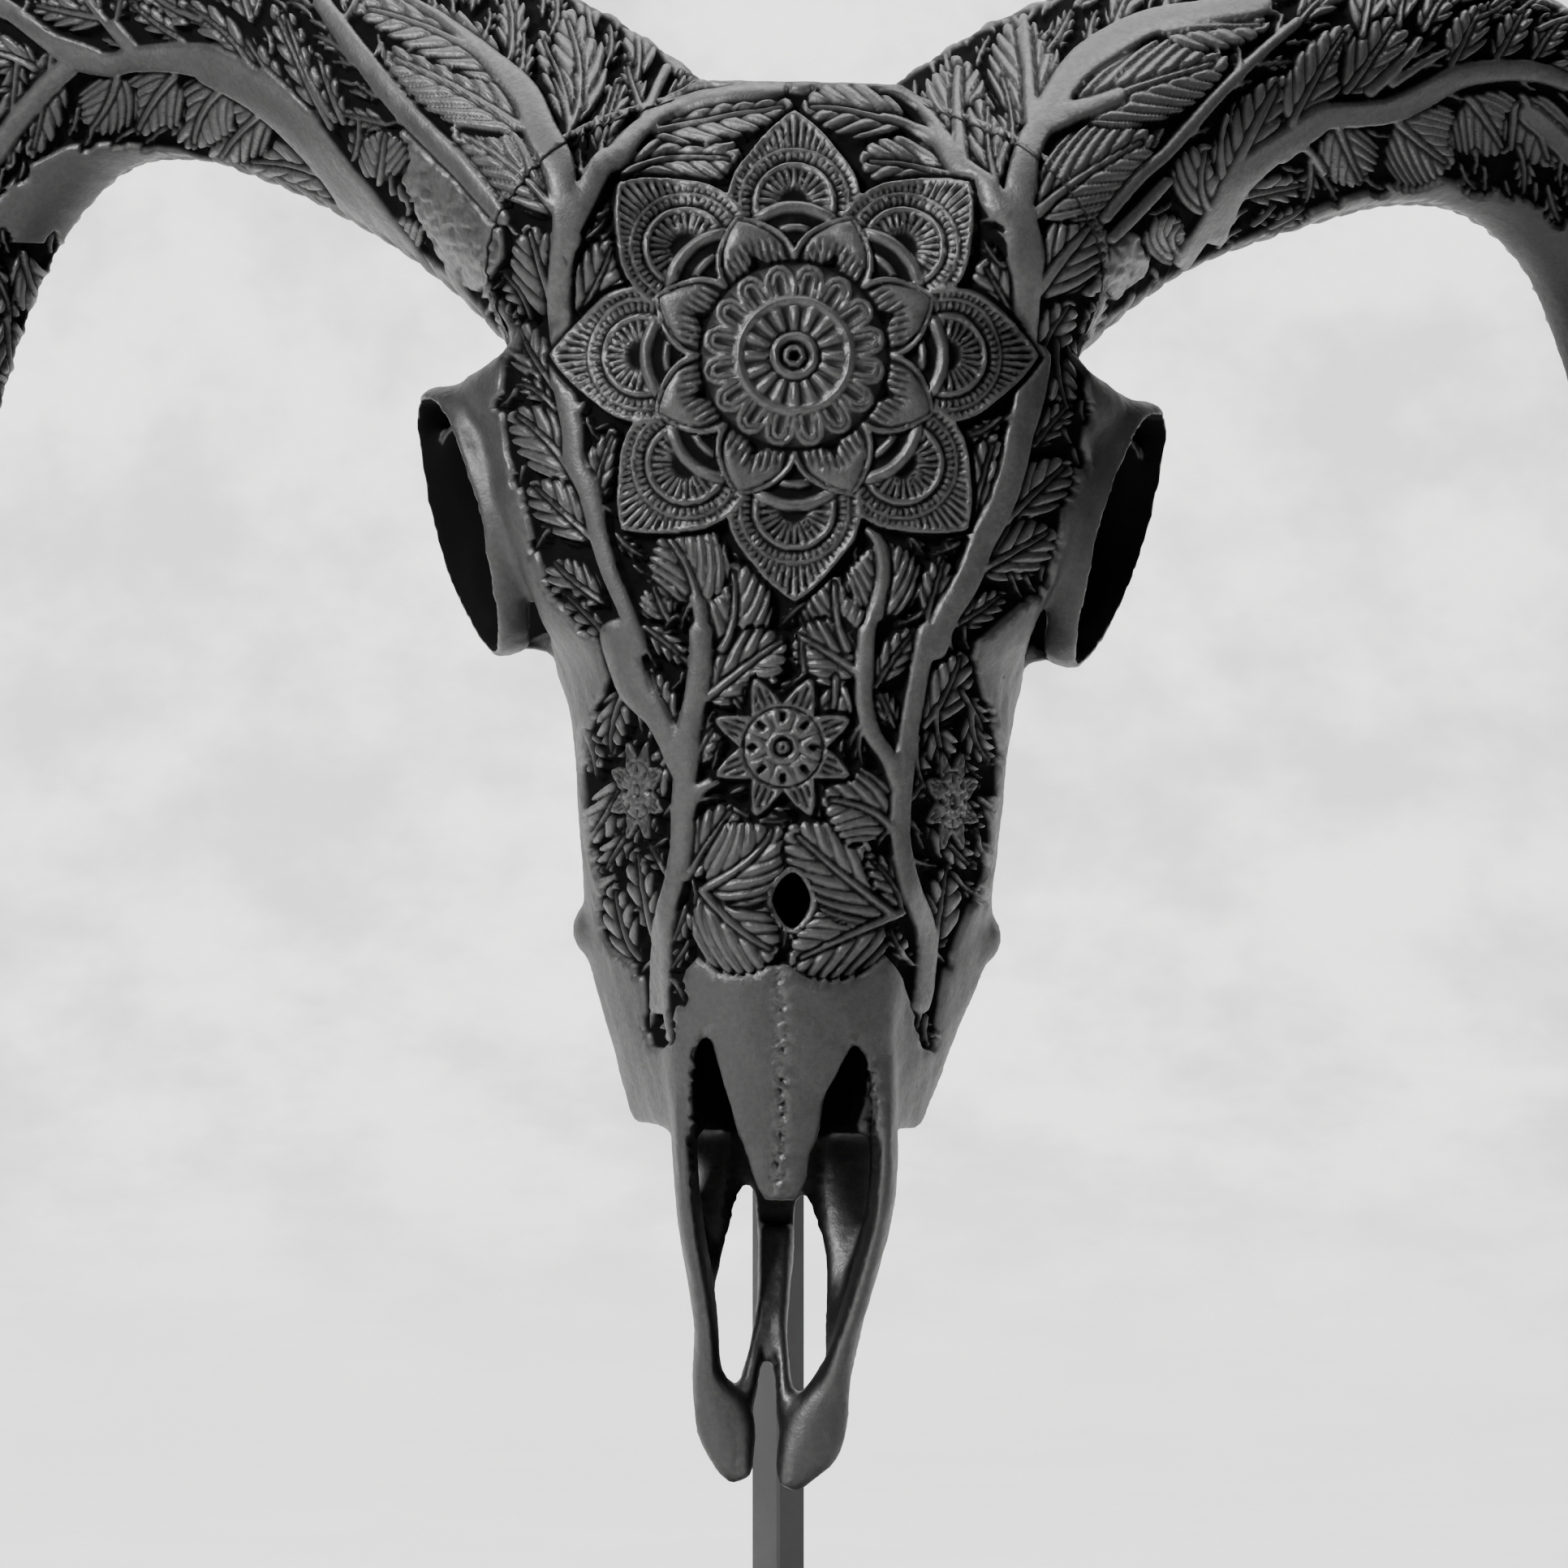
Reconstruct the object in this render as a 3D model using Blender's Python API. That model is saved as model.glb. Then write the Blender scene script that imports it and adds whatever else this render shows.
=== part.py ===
"""A carved ram skull on a steel stand, with its horns, cheek teeth and the pin that holds it.

The tables are in millimetres, in the skull's own frame: X to the viewer's right, Y to the back,
Z up, with the tip of the nose at the origin and the forehead towards the front. A table that
names one side holds distances from the mid plane, and both sides are built from it.
"""

from math import cos, pi, radians, sin

import bmesh
import bpy
import numpy as np
from mathutils import Matrix, Vector

MM = 0.001

# Where the skull hangs over the stand: the base plate's underside is z 0
BASE_SIZE = (200.0, 180.0, 8.0)
BASE_EDGE_BEVEL = 1.5
NOSE_ABOVE_FLOOR = 98.0
SKULL_OFFSET_X = -2.8
SKULL_TO_BASE_Y = -75.0
SKULL_LEAN = radians(1.2)
GAP = 0.3

# The post is a square bar with an arris to the front, and the pin is a round rod
POST_SIDE = 8.0
POST_AT = (-1.2, 115.0)
POST_TOP = 252.0
PIN_RADIUS = 4.0
PIN_PATH = (
    (-1.2, 115.0, 252.3), (-1.2, 115.0, 258.0), (-1.1, 113.6, 264.5), (-0.6, 108.4, 267.6),
    (0.2, 102.2, 263.0), (1.4, 96.0, 254.6), (2.2, 88.5, 245.5), (2.4, 78.5, 233.5),
)
PIN_SIDES = 12

# Skull: sections from the mid of the front round the side to the mid of the back, at each height
FACE_SECTIONS = {
    67: ((0, -1.8), (9, 0), (18, 6), (21, 16), (25, 32), (28.5, 45), (25.5, 51), (12, 49), (0, 47.5)),
    80: ((0, -3.6), (10, -2.2), (19.5, 3.5), (23, 15), (29, 32), (32, 47), (28, 56), (13, 54), (0, 53.5)),
    100: ((0, -6), (11, -4.8), (21, 1), (25, 13), (34, 33), (38, 50), (33, 62), (14, 62), (0, 62)),
    115: ((0, -7), (12, -6), (23, -1), (29, 10), (37, 28), (39, 46), (35, 62), (15, 68), (0, 69)),
    128: ((0, -7.5), (13, -6.5), (25, -1.5), (32, 9), (39, 26), (40, 46), (36, 64), (16, 74), (0, 75)),
    144: ((0, -8), (15, -7.2), (28, -2), (36, 10), (41, 28), (41, 48), (37, 68), (17, 80), (0, 82)),
    156: ((0, -8), (17, -7.5), (31, -3.2), (38, 7), (43, 24), (45, 44), (38, 62), (18, 76), (0, 78)),
    166: ((0, -8), (19, -7.6), (35, -3.8), (43, 5), (48, 17), (44, 32), (30, 46), (20, 62), (0, 70)),
    185: ((0, -8), (21, -7.6), (39, -3.5), (49, 5), (55.5, 17), (44, 25), (26, 36), (22, 60), (0, 72)),
    200: ((0, -8), (22, -7.6), (40, -3.5), (51, 6), (59, 20), (50, 32), (28, 40), (25, 66), (0, 80)),
    209: ((0, -8), (22, -7.5), (40, -3), (54, 8), (64.5, 26), (63, 42), (34, 50), (28, 72), (0, 88)),
    217: ((0, -7.5), (22, -7), (38, -2.5), (49, 6), (55.5, 20), (52, 38), (37, 56), (29, 78), (0, 93)),
    228: ((0, -6), (22, -5.5), (36, -1), (45, 8), (49, 20), (46, 38), (37, 58), (26, 80), (0, 93)),
    240: ((0, -4), (20, -3.5), (33, 1), (40, 11), (43, 24), (40, 40), (34, 58), (22, 76), (0, 84)),
    252: ((0, 0.5), (18, 1), (28, 5), (35, 13), (38, 24), (35, 38), (29, 52), (18, 64), (0, 68)),
    262: ((0, 6), (15, 7), (24, 11), (29, 17), (31, 25), (29, 36), (23, 46), (14, 55), (0, 58)),
    269.5: ((0, 13), (11, 13.6), (19, 16), (23, 21), (24, 27), (22, 33), (16, 39), (9, 44), (0, 46)),
}
# Nasal bones, a thin arched shield: height, left half width, right half width, front, arch radius
NASAL_SHIELD = (
    (54, -2.6, 4.2, 1.2, 14), (57, -4.0, 5.6, 0.6, 15), (62, -5.8, 6.8, -0.2, 16.5), (68, -7.7, 8.1, -1.2, 18),
    (74, -9.5, 8.8, -2.2, 20), (80, -11.6, 11.9, -3.0, 22), (86, -16.5, 15.5, -4.0, 24),
    (104, -21, 21, -5.4, 26),
)
NASAL_WALL = 2.4
PALATE_SLOPE = 0.447
PALATE_START = 18.0
PALATE_PLATE = ((57, 14.0), (64, 17.0), (76, 19.0))
PALATE_WALL = 4.0
# Bars and knobs: centre x, y, z, then half thickness across and half depth
PREMAXILLA = {
    -1: ((21.0, 20, 104, 2.8, 15), (19.0, 17.5, 84, 2.4, 14), (18.0, 17, 66, 2.3, 13.5),
         (16.4, 17, 50, 2.5, 12.5), (13.9, 18, 36, 2.4, 9.5), (12.7, 18.6, 27, 2.4, 8.0),
         (12.3, 18, 19, 3.2, 6.4), (9.0, 17.4, 11, 6.0, 4.8), (7.2, 16.6, 4.0, 4.6, 3.8),
         (5.4, 16, -0.6, 2.6, 2.6)),
    1: ((21.5, 20, 104, 2.8, 15), (20.6, 17.5, 84, 2.6, 14), (20.8, 17, 66, 2.6, 13.5),
        (20.4, 17, 54, 2.7, 12.5), (18.0, 18, 42, 2.6, 9.5), (14.9, 18.6, 30, 2.5, 8.0),
        (12.4, 18, 20.5, 3.2, 6.4), (9.6, 17.4, 12.5, 5.8, 4.8), (7.4, 16.8, 6.5, 6.4, 4.0),
        (5.1, 16.4, 1.6, 4.4, 3.4), (3.7, 16, -2.0, 2.4, 2.4)),
}
PALATAL_SHELF = {
    -1: ((13.2, 22, 24, 1.4, 3), (13.4, 25, 34, 2.2, 3), (13.0, 29, 44, 3.5, 2.6), (12.2, 34, 54, 6.0, 2.4),
         (11, 38.5, 62, 9.5, 2.4), (11, 42.5, 70, 10, 2.4)),
    1: ((12.0, 22, 22, 1.8, 3), (13.2, 25, 34, 3.2, 3), (14.2, 29, 44, 4.8, 2.6), (13.2, 34, 53, 7.4, 2.4),
        (11.5, 38.5, 62, 10, 2.4), (11, 42.5, 70, 10, 2.4)),
}
PALATINE_BLADES = {
    -1: ((3.0, 41, 60, 1.6, 4), (1.9, 33, 42, 1.2, 5), (2.6, 26, 28, 1.2, 4.6), (5.4, 19.5, 13, 2.2, 3.6)),
    1: ((1.6, 41, 60, 2.4, 4), (1.9, 33, 42, 1.9, 5), (1.6, 25.5, 27, 1.3, 4.6), (3.2, 19, 10, 2.0, 3.6)),
}
ALVEOLAR_RIDGE = (
    (24.5, 49, 74, 6.0, 7.0), (27, 55, 88, 7.0, 8.0), (30, 64, 110, 7.6, 9.0), (30.5, 72, 132, 7.6, 9.0),
    (28, 77, 147, 5.5, 6.5),
)
PTERYGOID = ((15, 78, 142, 2.4, 8), (12, 84, 158, 2.0, 8), (10, 84, 174, 2.2, 7), (9, 80, 190, 3.0, 5))
ORBIT_RIM = (
    (69, 40, 209), (65, 29, 206.5), (60.5, 20.5, 197), (56.5, 17, 185), (54.5, 19, 173.5), (53, 27, 163.5),
    (54.5, 40, 159.5), (59.5, 52, 165.5), (65, 60, 177), (69, 61, 190), (71, 53, 202),
)
ORBIT_RIM_HALF = (2.4, 4.2)
POSTORBITAL_PLATE = (
    (58, 46, 205, 8, 3.0), (62, 56, 197, 8.5, 2.2), (60.5, 60.5, 187, 8.5, 2.0), (56.5, 59, 176, 8.5, 2.0),
    (50, 51, 167, 8, 2.4), (45, 42, 161, 6, 3),
)
ZYGOMATIC_ARCH = (
    (56, 48, 162, 3.2, 6.0), (62, 60, 172, 2.6, 6.4), (64, 71, 187, 2.6, 5.4), (60, 79, 202, 2.8, 4.6),
    (48, 80, 214, 3.6, 5.0), (33, 75, 220, 5.0, 7.0),
)
JUGULAR_PROCESS = ((23, 84, 238, 5, 6), (27, 97, 231, 3.4, 5), (28, 108, 223, 2.6, 4), (26, 116, 215, 1.8, 2.6))
SKULL_BASE = ((0, 66, 166, 8, 8), (0, 76, 186, 11, 8), (0, 86, 208, 14, 8), (0, 93, 230, 17, 8))
NUCHAL_CREST = ((-25, 58, 250), (-17, 57, 260), (0, 56, 264.5), (17, 57, 260), (25, 58, 250))
NUCHAL_CREST_HALF = (2.6, 3.4)
# Knobs: distance from the mid plane, y, z, and the three half sizes
KNOBS = {
    "condyle": ((13, 96, 239), (7.5, 8.5, 9.5)),
    "bulla": ((19, 92, 208), (7.5, 8.5, 10)),
    "facial tuber": ((36.5, 50, 104.5), (4.6, 9, 5.5)),
}
BRAINCASE = ((0, 60, 221), (33, 34, 35))

# Hollows cut from the skull
ORBIT_CENTRE = (62.5, 39.5, 183.6)
ORBIT_AXIS = (0.93, -0.236, -0.28)
ORBIT_HALF = (34, 17.5, 19.6)
NASAL_CAVITY = (
    (48, 12.5, 7, 34), (58, 13.6, 4, 38), (70, 15, 2.5, 43), (86, 17.5, 1, 49), (104, 19.5, -0.5, 56),
    (124, 20, -1, 62), (140, 14, 6, 60), (150, 6, 16, 50),
)
NASAL_NOTCH = {
    -1: ((3.0, 49), (3.8, 56.5), (5.8, 62), (7.7, 68), (9.5, 74), (11.4, 80), (13.6, 86), (16.0, 82),
         (16.4, 76), (15.8, 66), (14.2, 57), (13.2, 49)),
    1: ((4.6, 49), (5.4, 56), (6.9, 62), (8.1, 68), (8.8, 74), (11.3, 79), (14.6, 84.8), (17.4, 80),
        (18.2, 74), (18.2, 66), (17.8, 57), (17.0, 49)),
}
NASAL_NOTCH_Y = (-9, 14)
PIERCED_DIAMOND = ((2.0, 106.2), (5.6, 111.6), (2.2, 117.4), (-1.9, 112.4))
PIERCED_DIAMOND_Y = (-12, 12)
CHOANA = ((0, 84, 143), (7.5, 14, 15))
BRAIN_HOLLOW = ((0, 60, 221), (25, 26, 27))
FORAMEN_MAGNUM = ((0, 88, 245), (0, 0.65, 0.76), 9.5, 26)

# Horns: centre line, the section's mean radius at the base, and how far the bony core reaches
HORN_PATH = {
    -1: ((35.5, 27, 241), (56, 43, 258.5), (76.5, 60, 270.8), (94, 75, 278.6), (114, 93, 285), (134, 110, 285.5),
         (152.5, 123, 277.5), (168, 132, 259), (177, 134.5, 236), (182, 130, 211), (186, 116, 186),
         (191, 95, 167), (198, 70, 157), (208, 46, 160), (220, 27, 173), (232, 15, 192)),
    1: ((35.5, 27, 241), (56, 43, 258.5), (75, 59, 269), (94, 75, 275.5), (114, 93, 281), (134, 110, 281.5),
        (153, 123, 274), (169, 131.5, 257), (178, 134, 234), (183, 130, 209), (186, 116, 184),
        (191, 95, 165), (198, 70, 155), (208, 46, 158), (220, 27, 171), (232, 15, 190)),
}
HORN_BASE_RADIUS = 32.3
HORN_TIP_SHARE = 0.08
HORN_TAPER = 0.70
HORN_TRIANGLE = 0.10
HORN_KEEL_TURN = radians(-17)
HORN_KEEL_TWIST = radians(40)
HORN_RINGS = 27
HORN_SIDES = 16
CORE_SCALE = 0.72
CORE_REACH = 0.14
CORE_ROOT = 14.0
# The skull's bone flares to each horn: steps down the core's way, with the share of the horn's girth
HORN_PEDICLE = ((-34, 0.5), (-22, 0.74), (-10, 0.93), (-3, 0.99), (4, 0.99))

# Upper cheek teeth, from the first premolar left in the jaw to the last molar
TOOTH_ROOTS = ((25.0, 51.5, 77.5), (26.8, 56.2, 88), (28.4, 61.0, 99), (29.6, 66.3, 112), (30.2, 71.6, 126),
               (29.6, 76.6, 140))
TOOTH_LENGTHS = (8.5, 9.5, 10.5, 13.0, 14.0, 14.0)
TOOTH_WIDTHS = (6.5, 8.0, 9.0, 11.0, 11.5, 10.5)
TOOTH_CROWN = 11.0
TOOTH_ROOT_DEPTH = 7.0
CROWN_DIRECTION = Vector((0, 0.914, -0.407))
TOOTH_ROW_DIRECTION = Vector((0.06, 0.407, 0.914))

SKULL_VOXEL = 1.6
SKULL_TRIANGLES = 3300
# The right cheek stands out further than the left
RIGHT_CHEEK_SHIFT = 2.4
RIGHT_CHEEK_HEIGHTS = (72, 98, 146, 166)


def clear_scene():
    for obj in list(bpy.data.objects):
        bpy.data.objects.remove(obj)


def material(name, colour, roughness, metallic=0.0):
    made = bpy.data.materials.new(name)
    made.use_nodes = True
    shader = made.node_tree.nodes["Principled BSDF"]
    shader.inputs["Base Color"].default_value = (*colour, 1)
    shader.inputs["Roughness"].default_value = roughness
    shader.inputs["Metallic"].default_value = metallic
    return made


def curve_through(points, count, closed=False):
    """Rows spread evenly in parameter on the Catmull-Rom curve through the given rows."""
    points = np.asarray(points, float)
    spans = len(points) if closed else len(points) - 1
    place = np.linspace(0, spans, count, endpoint=not closed)
    first = np.minimum(place.astype(int), spans - 1)
    t = (place - first).reshape(-1, *[1] * (points.ndim - 1))

    def knot(step):
        index = first + step
        return points[index % len(points)] if closed else points[np.clip(index, 0, len(points) - 1)]

    before, start, end, after = knot(-1), knot(0), knot(1), knot(2)
    return 0.5 * (
        2 * start
        + (end - before) * t
        + (2 * before - 5 * start + 4 * end - after) * t**2
        + (3 * start - before - 3 * end + after) * t**3
    )


def unit(vectors):
    vectors = np.asarray(vectors, float)
    return vectors / np.linalg.norm(vectors, axis=-1, keepdims=True)


def add_skin(bm, rings, capped=True):
    """Sides between neighbouring rings of points in millimetres, and a cap at each end or a closed loop."""
    rings = np.asarray(rings) * MM
    count, around, _ = rings.shape
    made = [[bm.verts.new(point) for point in ring] for ring in rings]
    faces = []
    for i in range(count if not capped else count - 1):
        low, high = made[i], made[(i + 1) % count]
        for j in range(around):
            k = (j + 1) % around
            faces.append(bm.faces.new((low[j], low[k], high[k], high[j])))
    if capped:
        faces.append(bm.faces.new(made[0][::-1]))
        faces.append(bm.faces.new(made[-1]))
    bmesh.ops.recalc_face_normals(bm, faces=faces)


def bar_rings(path, steps=22, sides=14):
    """Oval rings along a bar, each across the bar's way: the first half size is across X, the second behind it."""
    path = curve_through(path, steps)
    centres, halves = path[:, :3], path[:, 3:5]
    along = unit(np.gradient(centres, axis=0))
    across = unit(np.array([1.0, 0, 0]) - along[:, :1] * along)
    behind = np.cross(along, across)
    turn = np.linspace(0, 2 * pi, sides, endpoint=False)[:, None]
    return (
        centres[:, None]
        + np.cos(turn) * across[:, None] * halves[:, None, :1]
        + np.sin(turn) * behind[:, None] * halves[:, None, 1:]
    )


def mirrored(path, side):
    return [(side * row[0], *row[1:]) for row in path]


def cheek_shift(side, height):
    """How far a point of the cheek at this height stands out beyond the left side's."""
    return np.interp(height, RIGHT_CHEEK_HEIGHTS, (0, 1, 1, 0)) * RIGHT_CHEEK_SHIFT if side > 0 else 0.0


def on_cheek(path, side):
    return [(side * (row[0] + cheek_shift(side, row[2])), *row[1:]) for row in path]


def add_ellipsoid(bm, centre, halves, axis=None, subdivisions=3):
    """An ellipsoid whose first half size lies along the axis given, or along X."""
    turn = Vector((1, 0, 0)).rotation_difference(Vector(axis)).to_matrix().to_4x4() if axis else Matrix()
    place = Matrix.Translation(Vector(centre) * MM) @ turn @ Matrix.Diagonal((*(h * MM for h in halves), 1))
    bmesh.ops.create_icosphere(bm, subdivisions=subdivisions, radius=1, matrix=place)


def face_rings(steps=46, sides=44):
    """The face from the upper jaw to the poll, each ring mirrored from its half section."""
    heights = list(FACE_SECTIONS)
    rows = [[(x, y, z) for x, y in FACE_SECTIONS[z]] for z in heights]
    loops = curve_through(rows, steps)
    rings = []
    for half in loops:
        other = half[-2:0:-1] * (-1, 1, 1)
        fullness = np.minimum(1, (half[:, 0] / half[:, 0].max()) ** 2)
        half = half + np.outer(fullness, (cheek_shift(1, half[0, 2]), 0, 0))
        rings.append(curve_through(np.concatenate([half, other]), sides, closed=True))
    return rings


def nasal_rings(steps=12, arc_points=9):
    """The nasal shield: an arc between its two edges in front and the same arc a wall thickness behind."""
    rings = []
    for height, left, right, front, radius in curve_through(NASAL_SHIELD, steps):
        x = np.linspace(left, right, arc_points)
        y = front + radius - np.sqrt(np.maximum(radius**2 - x**2, 0.1))
        outer = np.stack([x, y, np.full_like(x, height)], axis=1)
        inner = outer[::-1] + (0, NASAL_WALL, 0)
        rings.append(np.concatenate([outer, inner]))
    return rings


def palate_rings():
    """The bony palate between the jaws, ahead of the tooth rows."""
    rings = []
    for height, half in PALATE_PLATE:
        back = PALATE_START + PALATE_SLOPE * height
        front = back - PALATE_WALL
        rings.append([(-half, front, height), (half, front, height), (half, back, height), (-half, back, height)])
    return rings


def horn_frames(side, steps):
    """Centres, front and up directions and mean radii along a horn, its frame carried with no twist."""
    path = np.array(mirrored(HORN_PATH[side], side))
    fine = curve_through(path, 400)
    length = np.concatenate([[0], np.cumsum(np.linalg.norm(np.diff(fine, axis=0), axis=1))])
    share = np.linspace(0, 1, steps)
    centres = np.stack([np.interp(share * length[-1], length, fine[:, k]) for k in range(3)], axis=1)
    along = unit(np.gradient(centres, axis=0))
    front = np.array([0.0, -1, 0])
    fronts = []
    for way in along:
        front = front - (front @ way) * way
        front /= np.linalg.norm(front)
        fronts.append(front)
    fronts = np.array(fronts)
    ups = np.cross(along, fronts) * -side
    radii = HORN_BASE_RADIUS * (HORN_TIP_SHARE + (1 - HORN_TIP_SHARE) * (1 - share) ** HORN_TAPER)
    return centres, along, fronts, ups, radii, share


def horn_rings(side, steps, sides, scale=1.0, grow=0.0, reach=1.0, root=0.0):
    """Rounded triangular rings: the radius is the mean one times 1 + HORN_TRIANGLE cos 3 (angle - keel)."""
    centres, along, fronts, ups, radii, share = horn_frames(side, 80)
    angle = np.linspace(0, 2 * pi, sides, endpoint=False)
    rings = []
    for at in np.linspace(0, reach, steps):
        centre, front, up = (
            np.array([np.interp(at, share, rows[:, k]) for k in range(3)]) for rows in (centres, fronts, ups)
        )
        mean = np.interp(at, share, radii) * scale
        keel = HORN_KEEL_TURN + HORN_KEEL_TWIST * at
        radius = mean * (1 + HORN_TRIANGLE * np.cos(3 * (angle - keel))) + grow
        rings.append(
            centre
            + np.cos(angle)[:, None] * radius[:, None] * front
            + np.sin(angle)[:, None] * radius[:, None] * up
        )
    rings = np.array(rings)
    if root:
        rings = np.concatenate([(rings[0] - along[0] * root)[None], rings])
    return rings


def pedicle_rings(side):
    """Rings from inside the forehead out to the horn's base, each the base ring drawn in to a share."""
    base = horn_rings(side, 2, HORN_SIDES)[0]
    centres, along, *_ = horn_frames(side, 80)
    return [centres[0] + along[0] * step + (base - centres[0]) * share for step, share in HORN_PEDICLE]


def mesh_object(name, bm, parent, look=None):
    mesh = bpy.data.meshes.new(name)
    bm.to_mesh(mesh)
    bm.free()
    obj = bpy.data.objects.new(name, mesh)
    bpy.context.scene.collection.objects.link(obj)
    obj.parent = parent
    if look:
        mesh.materials.append(look)
    return obj


def hide(cutter):
    cutter.hide_render = True
    cutter.display_type = "WIRE"
    return cutter


def add_boolean(obj, other, operation="DIFFERENCE"):
    modifier = obj.modifiers.new(f"{operation.lower()} {other.name}", "BOOLEAN")
    modifier.object = other
    modifier.operation = operation
    modifier.solver = "EXACT"


def applied(obj):
    """The object with its modifiers made part of its mesh."""
    graph = bpy.context.evaluated_depsgraph_get()
    mesh = bpy.data.meshes.new_from_object(obj.evaluated_get(graph))
    obj.modifiers.clear()
    obj.data = mesh
    return obj


def bone_masses(parent):
    """All the skull's bone, as overlapping closed shells."""
    bm = bmesh.new()
    add_skin(bm, face_rings())
    add_skin(bm, nasal_rings())
    add_skin(bm, palate_rings())
    add_skin(bm, bar_rings(SKULL_BASE))
    crest = [(*point, *NUCHAL_CREST_HALF) for point in NUCHAL_CREST]
    add_skin(bm, crest_rings(crest))
    add_ellipsoid(bm, *BRAINCASE)
    for side in (-1, 1):
        for path in (PREMAXILLA[side], PALATAL_SHELF[side], PALATINE_BLADES[side], PTERYGOID, ZYGOMATIC_ARCH,
                     JUGULAR_PROCESS, POSTORBITAL_PLATE):
            add_skin(bm, bar_rings(mirrored(path, side)))
        add_skin(bm, bar_rings(on_cheek(ALVEOLAR_RIDGE, side)))
        add_skin(bm, orbit_rim_rings(side), capped=False)
        add_skin(bm, pedicle_rings(side))
        for centre, halves in KNOBS.values():
            add_ellipsoid(bm, on_cheek([centre], side)[0], halves)
    return mesh_object("skull", bm, parent)


def crest_rings(path, steps=16, sides=10):
    """Rings round a bar that runs from side to side."""
    path = curve_through(path, steps)
    centres, halves = path[:, :3], path[:, 3:5]
    along = unit(np.gradient(centres, axis=0))
    behind = unit(np.array([0, 1.0, 0]) - along[:, 1:2] * along)
    above = np.cross(behind, along)
    turn = np.linspace(0, 2 * pi, sides, endpoint=False)[:, None]
    return (
        centres[:, None]
        + np.cos(turn) * behind[:, None] * halves[:, None, :1]
        + np.sin(turn) * above[:, None] * halves[:, None, 1:]
    )


def orbit_rim_rings(side, steps=40, sides=12):
    """The rim of an eye socket: an oval section carried round a closed loop, deeper than it is thick."""
    loop = curve_through(np.array(mirrored(ORBIT_RIM, side)), steps, closed=True)
    outward = unit(loop - loop.mean(axis=0))
    along = unit(np.roll(loop, -1, axis=0) - np.roll(loop, 1, axis=0))
    deep = unit(np.cross(along, outward))
    outward = np.cross(deep, along)
    turn = np.linspace(0, 2 * pi, sides, endpoint=False)[:, None]
    thin, thick = ORBIT_RIM_HALF
    return loop[:, None] + np.cos(turn) * thin * outward[:, None] + np.sin(turn) * thick * deep[:, None]


def nasal_cavity_rings(steps=12, sides=12):
    """The airway behind the nasal shield, an egg-shaped section at each height."""
    turn = np.linspace(0, 2 * pi, sides, endpoint=False)
    rings = []
    for height, half, front, back in curve_through(NASAL_CAVITY, steps):
        x = half * np.sign(np.cos(turn)) * np.abs(np.cos(turn)) ** 0.8
        y = (front + back) / 2 + (back - front) / 2 * np.sin(turn)
        rings.append(np.stack([x, y, np.full_like(x, height)], axis=1))
    return rings


def prism_rings(outline, span):
    return [[(x, y, z) for x, z in outline] for y in span]


def hollow_cutters(parent):
    """The hollows: the airway with its two openings and the pierced diamond, the eye sockets, the gap behind the
    palate, and the brain's hollow with the hole for the pin."""
    made = []

    def cutter(name, fill):
        bm = bmesh.new()
        fill(bm)
        made.append(hide(mesh_object(name, bm, parent)))

    cutter("airway_cutter", lambda bm: add_skin(bm, nasal_cavity_rings()))
    cutter("pierced_diamond_cutter", lambda bm: add_skin(bm, prism_rings(PIERCED_DIAMOND, PIERCED_DIAMOND_Y)))
    cutter("choana_cutter", lambda bm: add_ellipsoid(bm, *CHOANA, subdivisions=2))
    cutter("brain_cutter", lambda bm: add_ellipsoid(bm, *BRAIN_HOLLOW, subdivisions=2))
    centre, axis, radius, half_length = FORAMEN_MAGNUM
    cutter("foramen_cutter", lambda bm: add_ellipsoid(bm, centre, (half_length, radius, radius), axis, 2))
    for side in (-1, 1):
        outline = mirrored(NASAL_NOTCH[side], side)
        cutter(f"nasal_notch_cutter_{side}", lambda bm: add_skin(bm, prism_rings(outline, NASAL_NOTCH_Y)))
        place = (side * ORBIT_CENTRE[0], *ORBIT_CENTRE[1:])
        axis = (side * ORBIT_AXIS[0], *ORBIT_AXIS[1:])
        cutter(f"orbit_cutter_{side}", lambda bm: add_ellipsoid(bm, place, ORBIT_HALF, axis, 2))
    return made


def tooth_rings(number, side, grow=0.0):
    """A tooth from its root to its worn crown: four rings of a rounded box that narrows to the root."""
    root = Vector(on_cheek([TOOTH_ROOTS[number]], side)[0])
    row = TOOTH_ROW_DIRECTION.copy()
    row.x *= side
    row.normalize()
    crown = (CROWN_DIRECTION - CROWN_DIRECTION.dot(row) * row).normalized()
    across = row.cross(crown)
    half_long = TOOTH_LENGTHS[number] / 2 - GAP / 2
    half_wide = TOOTH_WIDTHS[number] / 2
    rings = []
    levels = ((-TOOTH_ROOT_DEPTH - grow, 0.72), (0, 0.96), (TOOTH_CROWN * 0.6, 1.0), (TOOTH_CROWN, 0.86))
    for level, share in levels:
        centre = root + crown * level
        ring = []
        for step in range(10):
            angle = 2 * pi * (step + 0.5) / 10
            long = abs(cos(angle)) ** 0.6 * (1 if cos(angle) > 0 else -1)
            wide = abs(sin(angle)) ** 0.6 * (1 if sin(angle) > 0 else -1)
            ring.append(centre + row * long * (half_long * share + grow) + across * wide * (half_wide * share + grow))
        rings.append(ring)
    return rings


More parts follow.
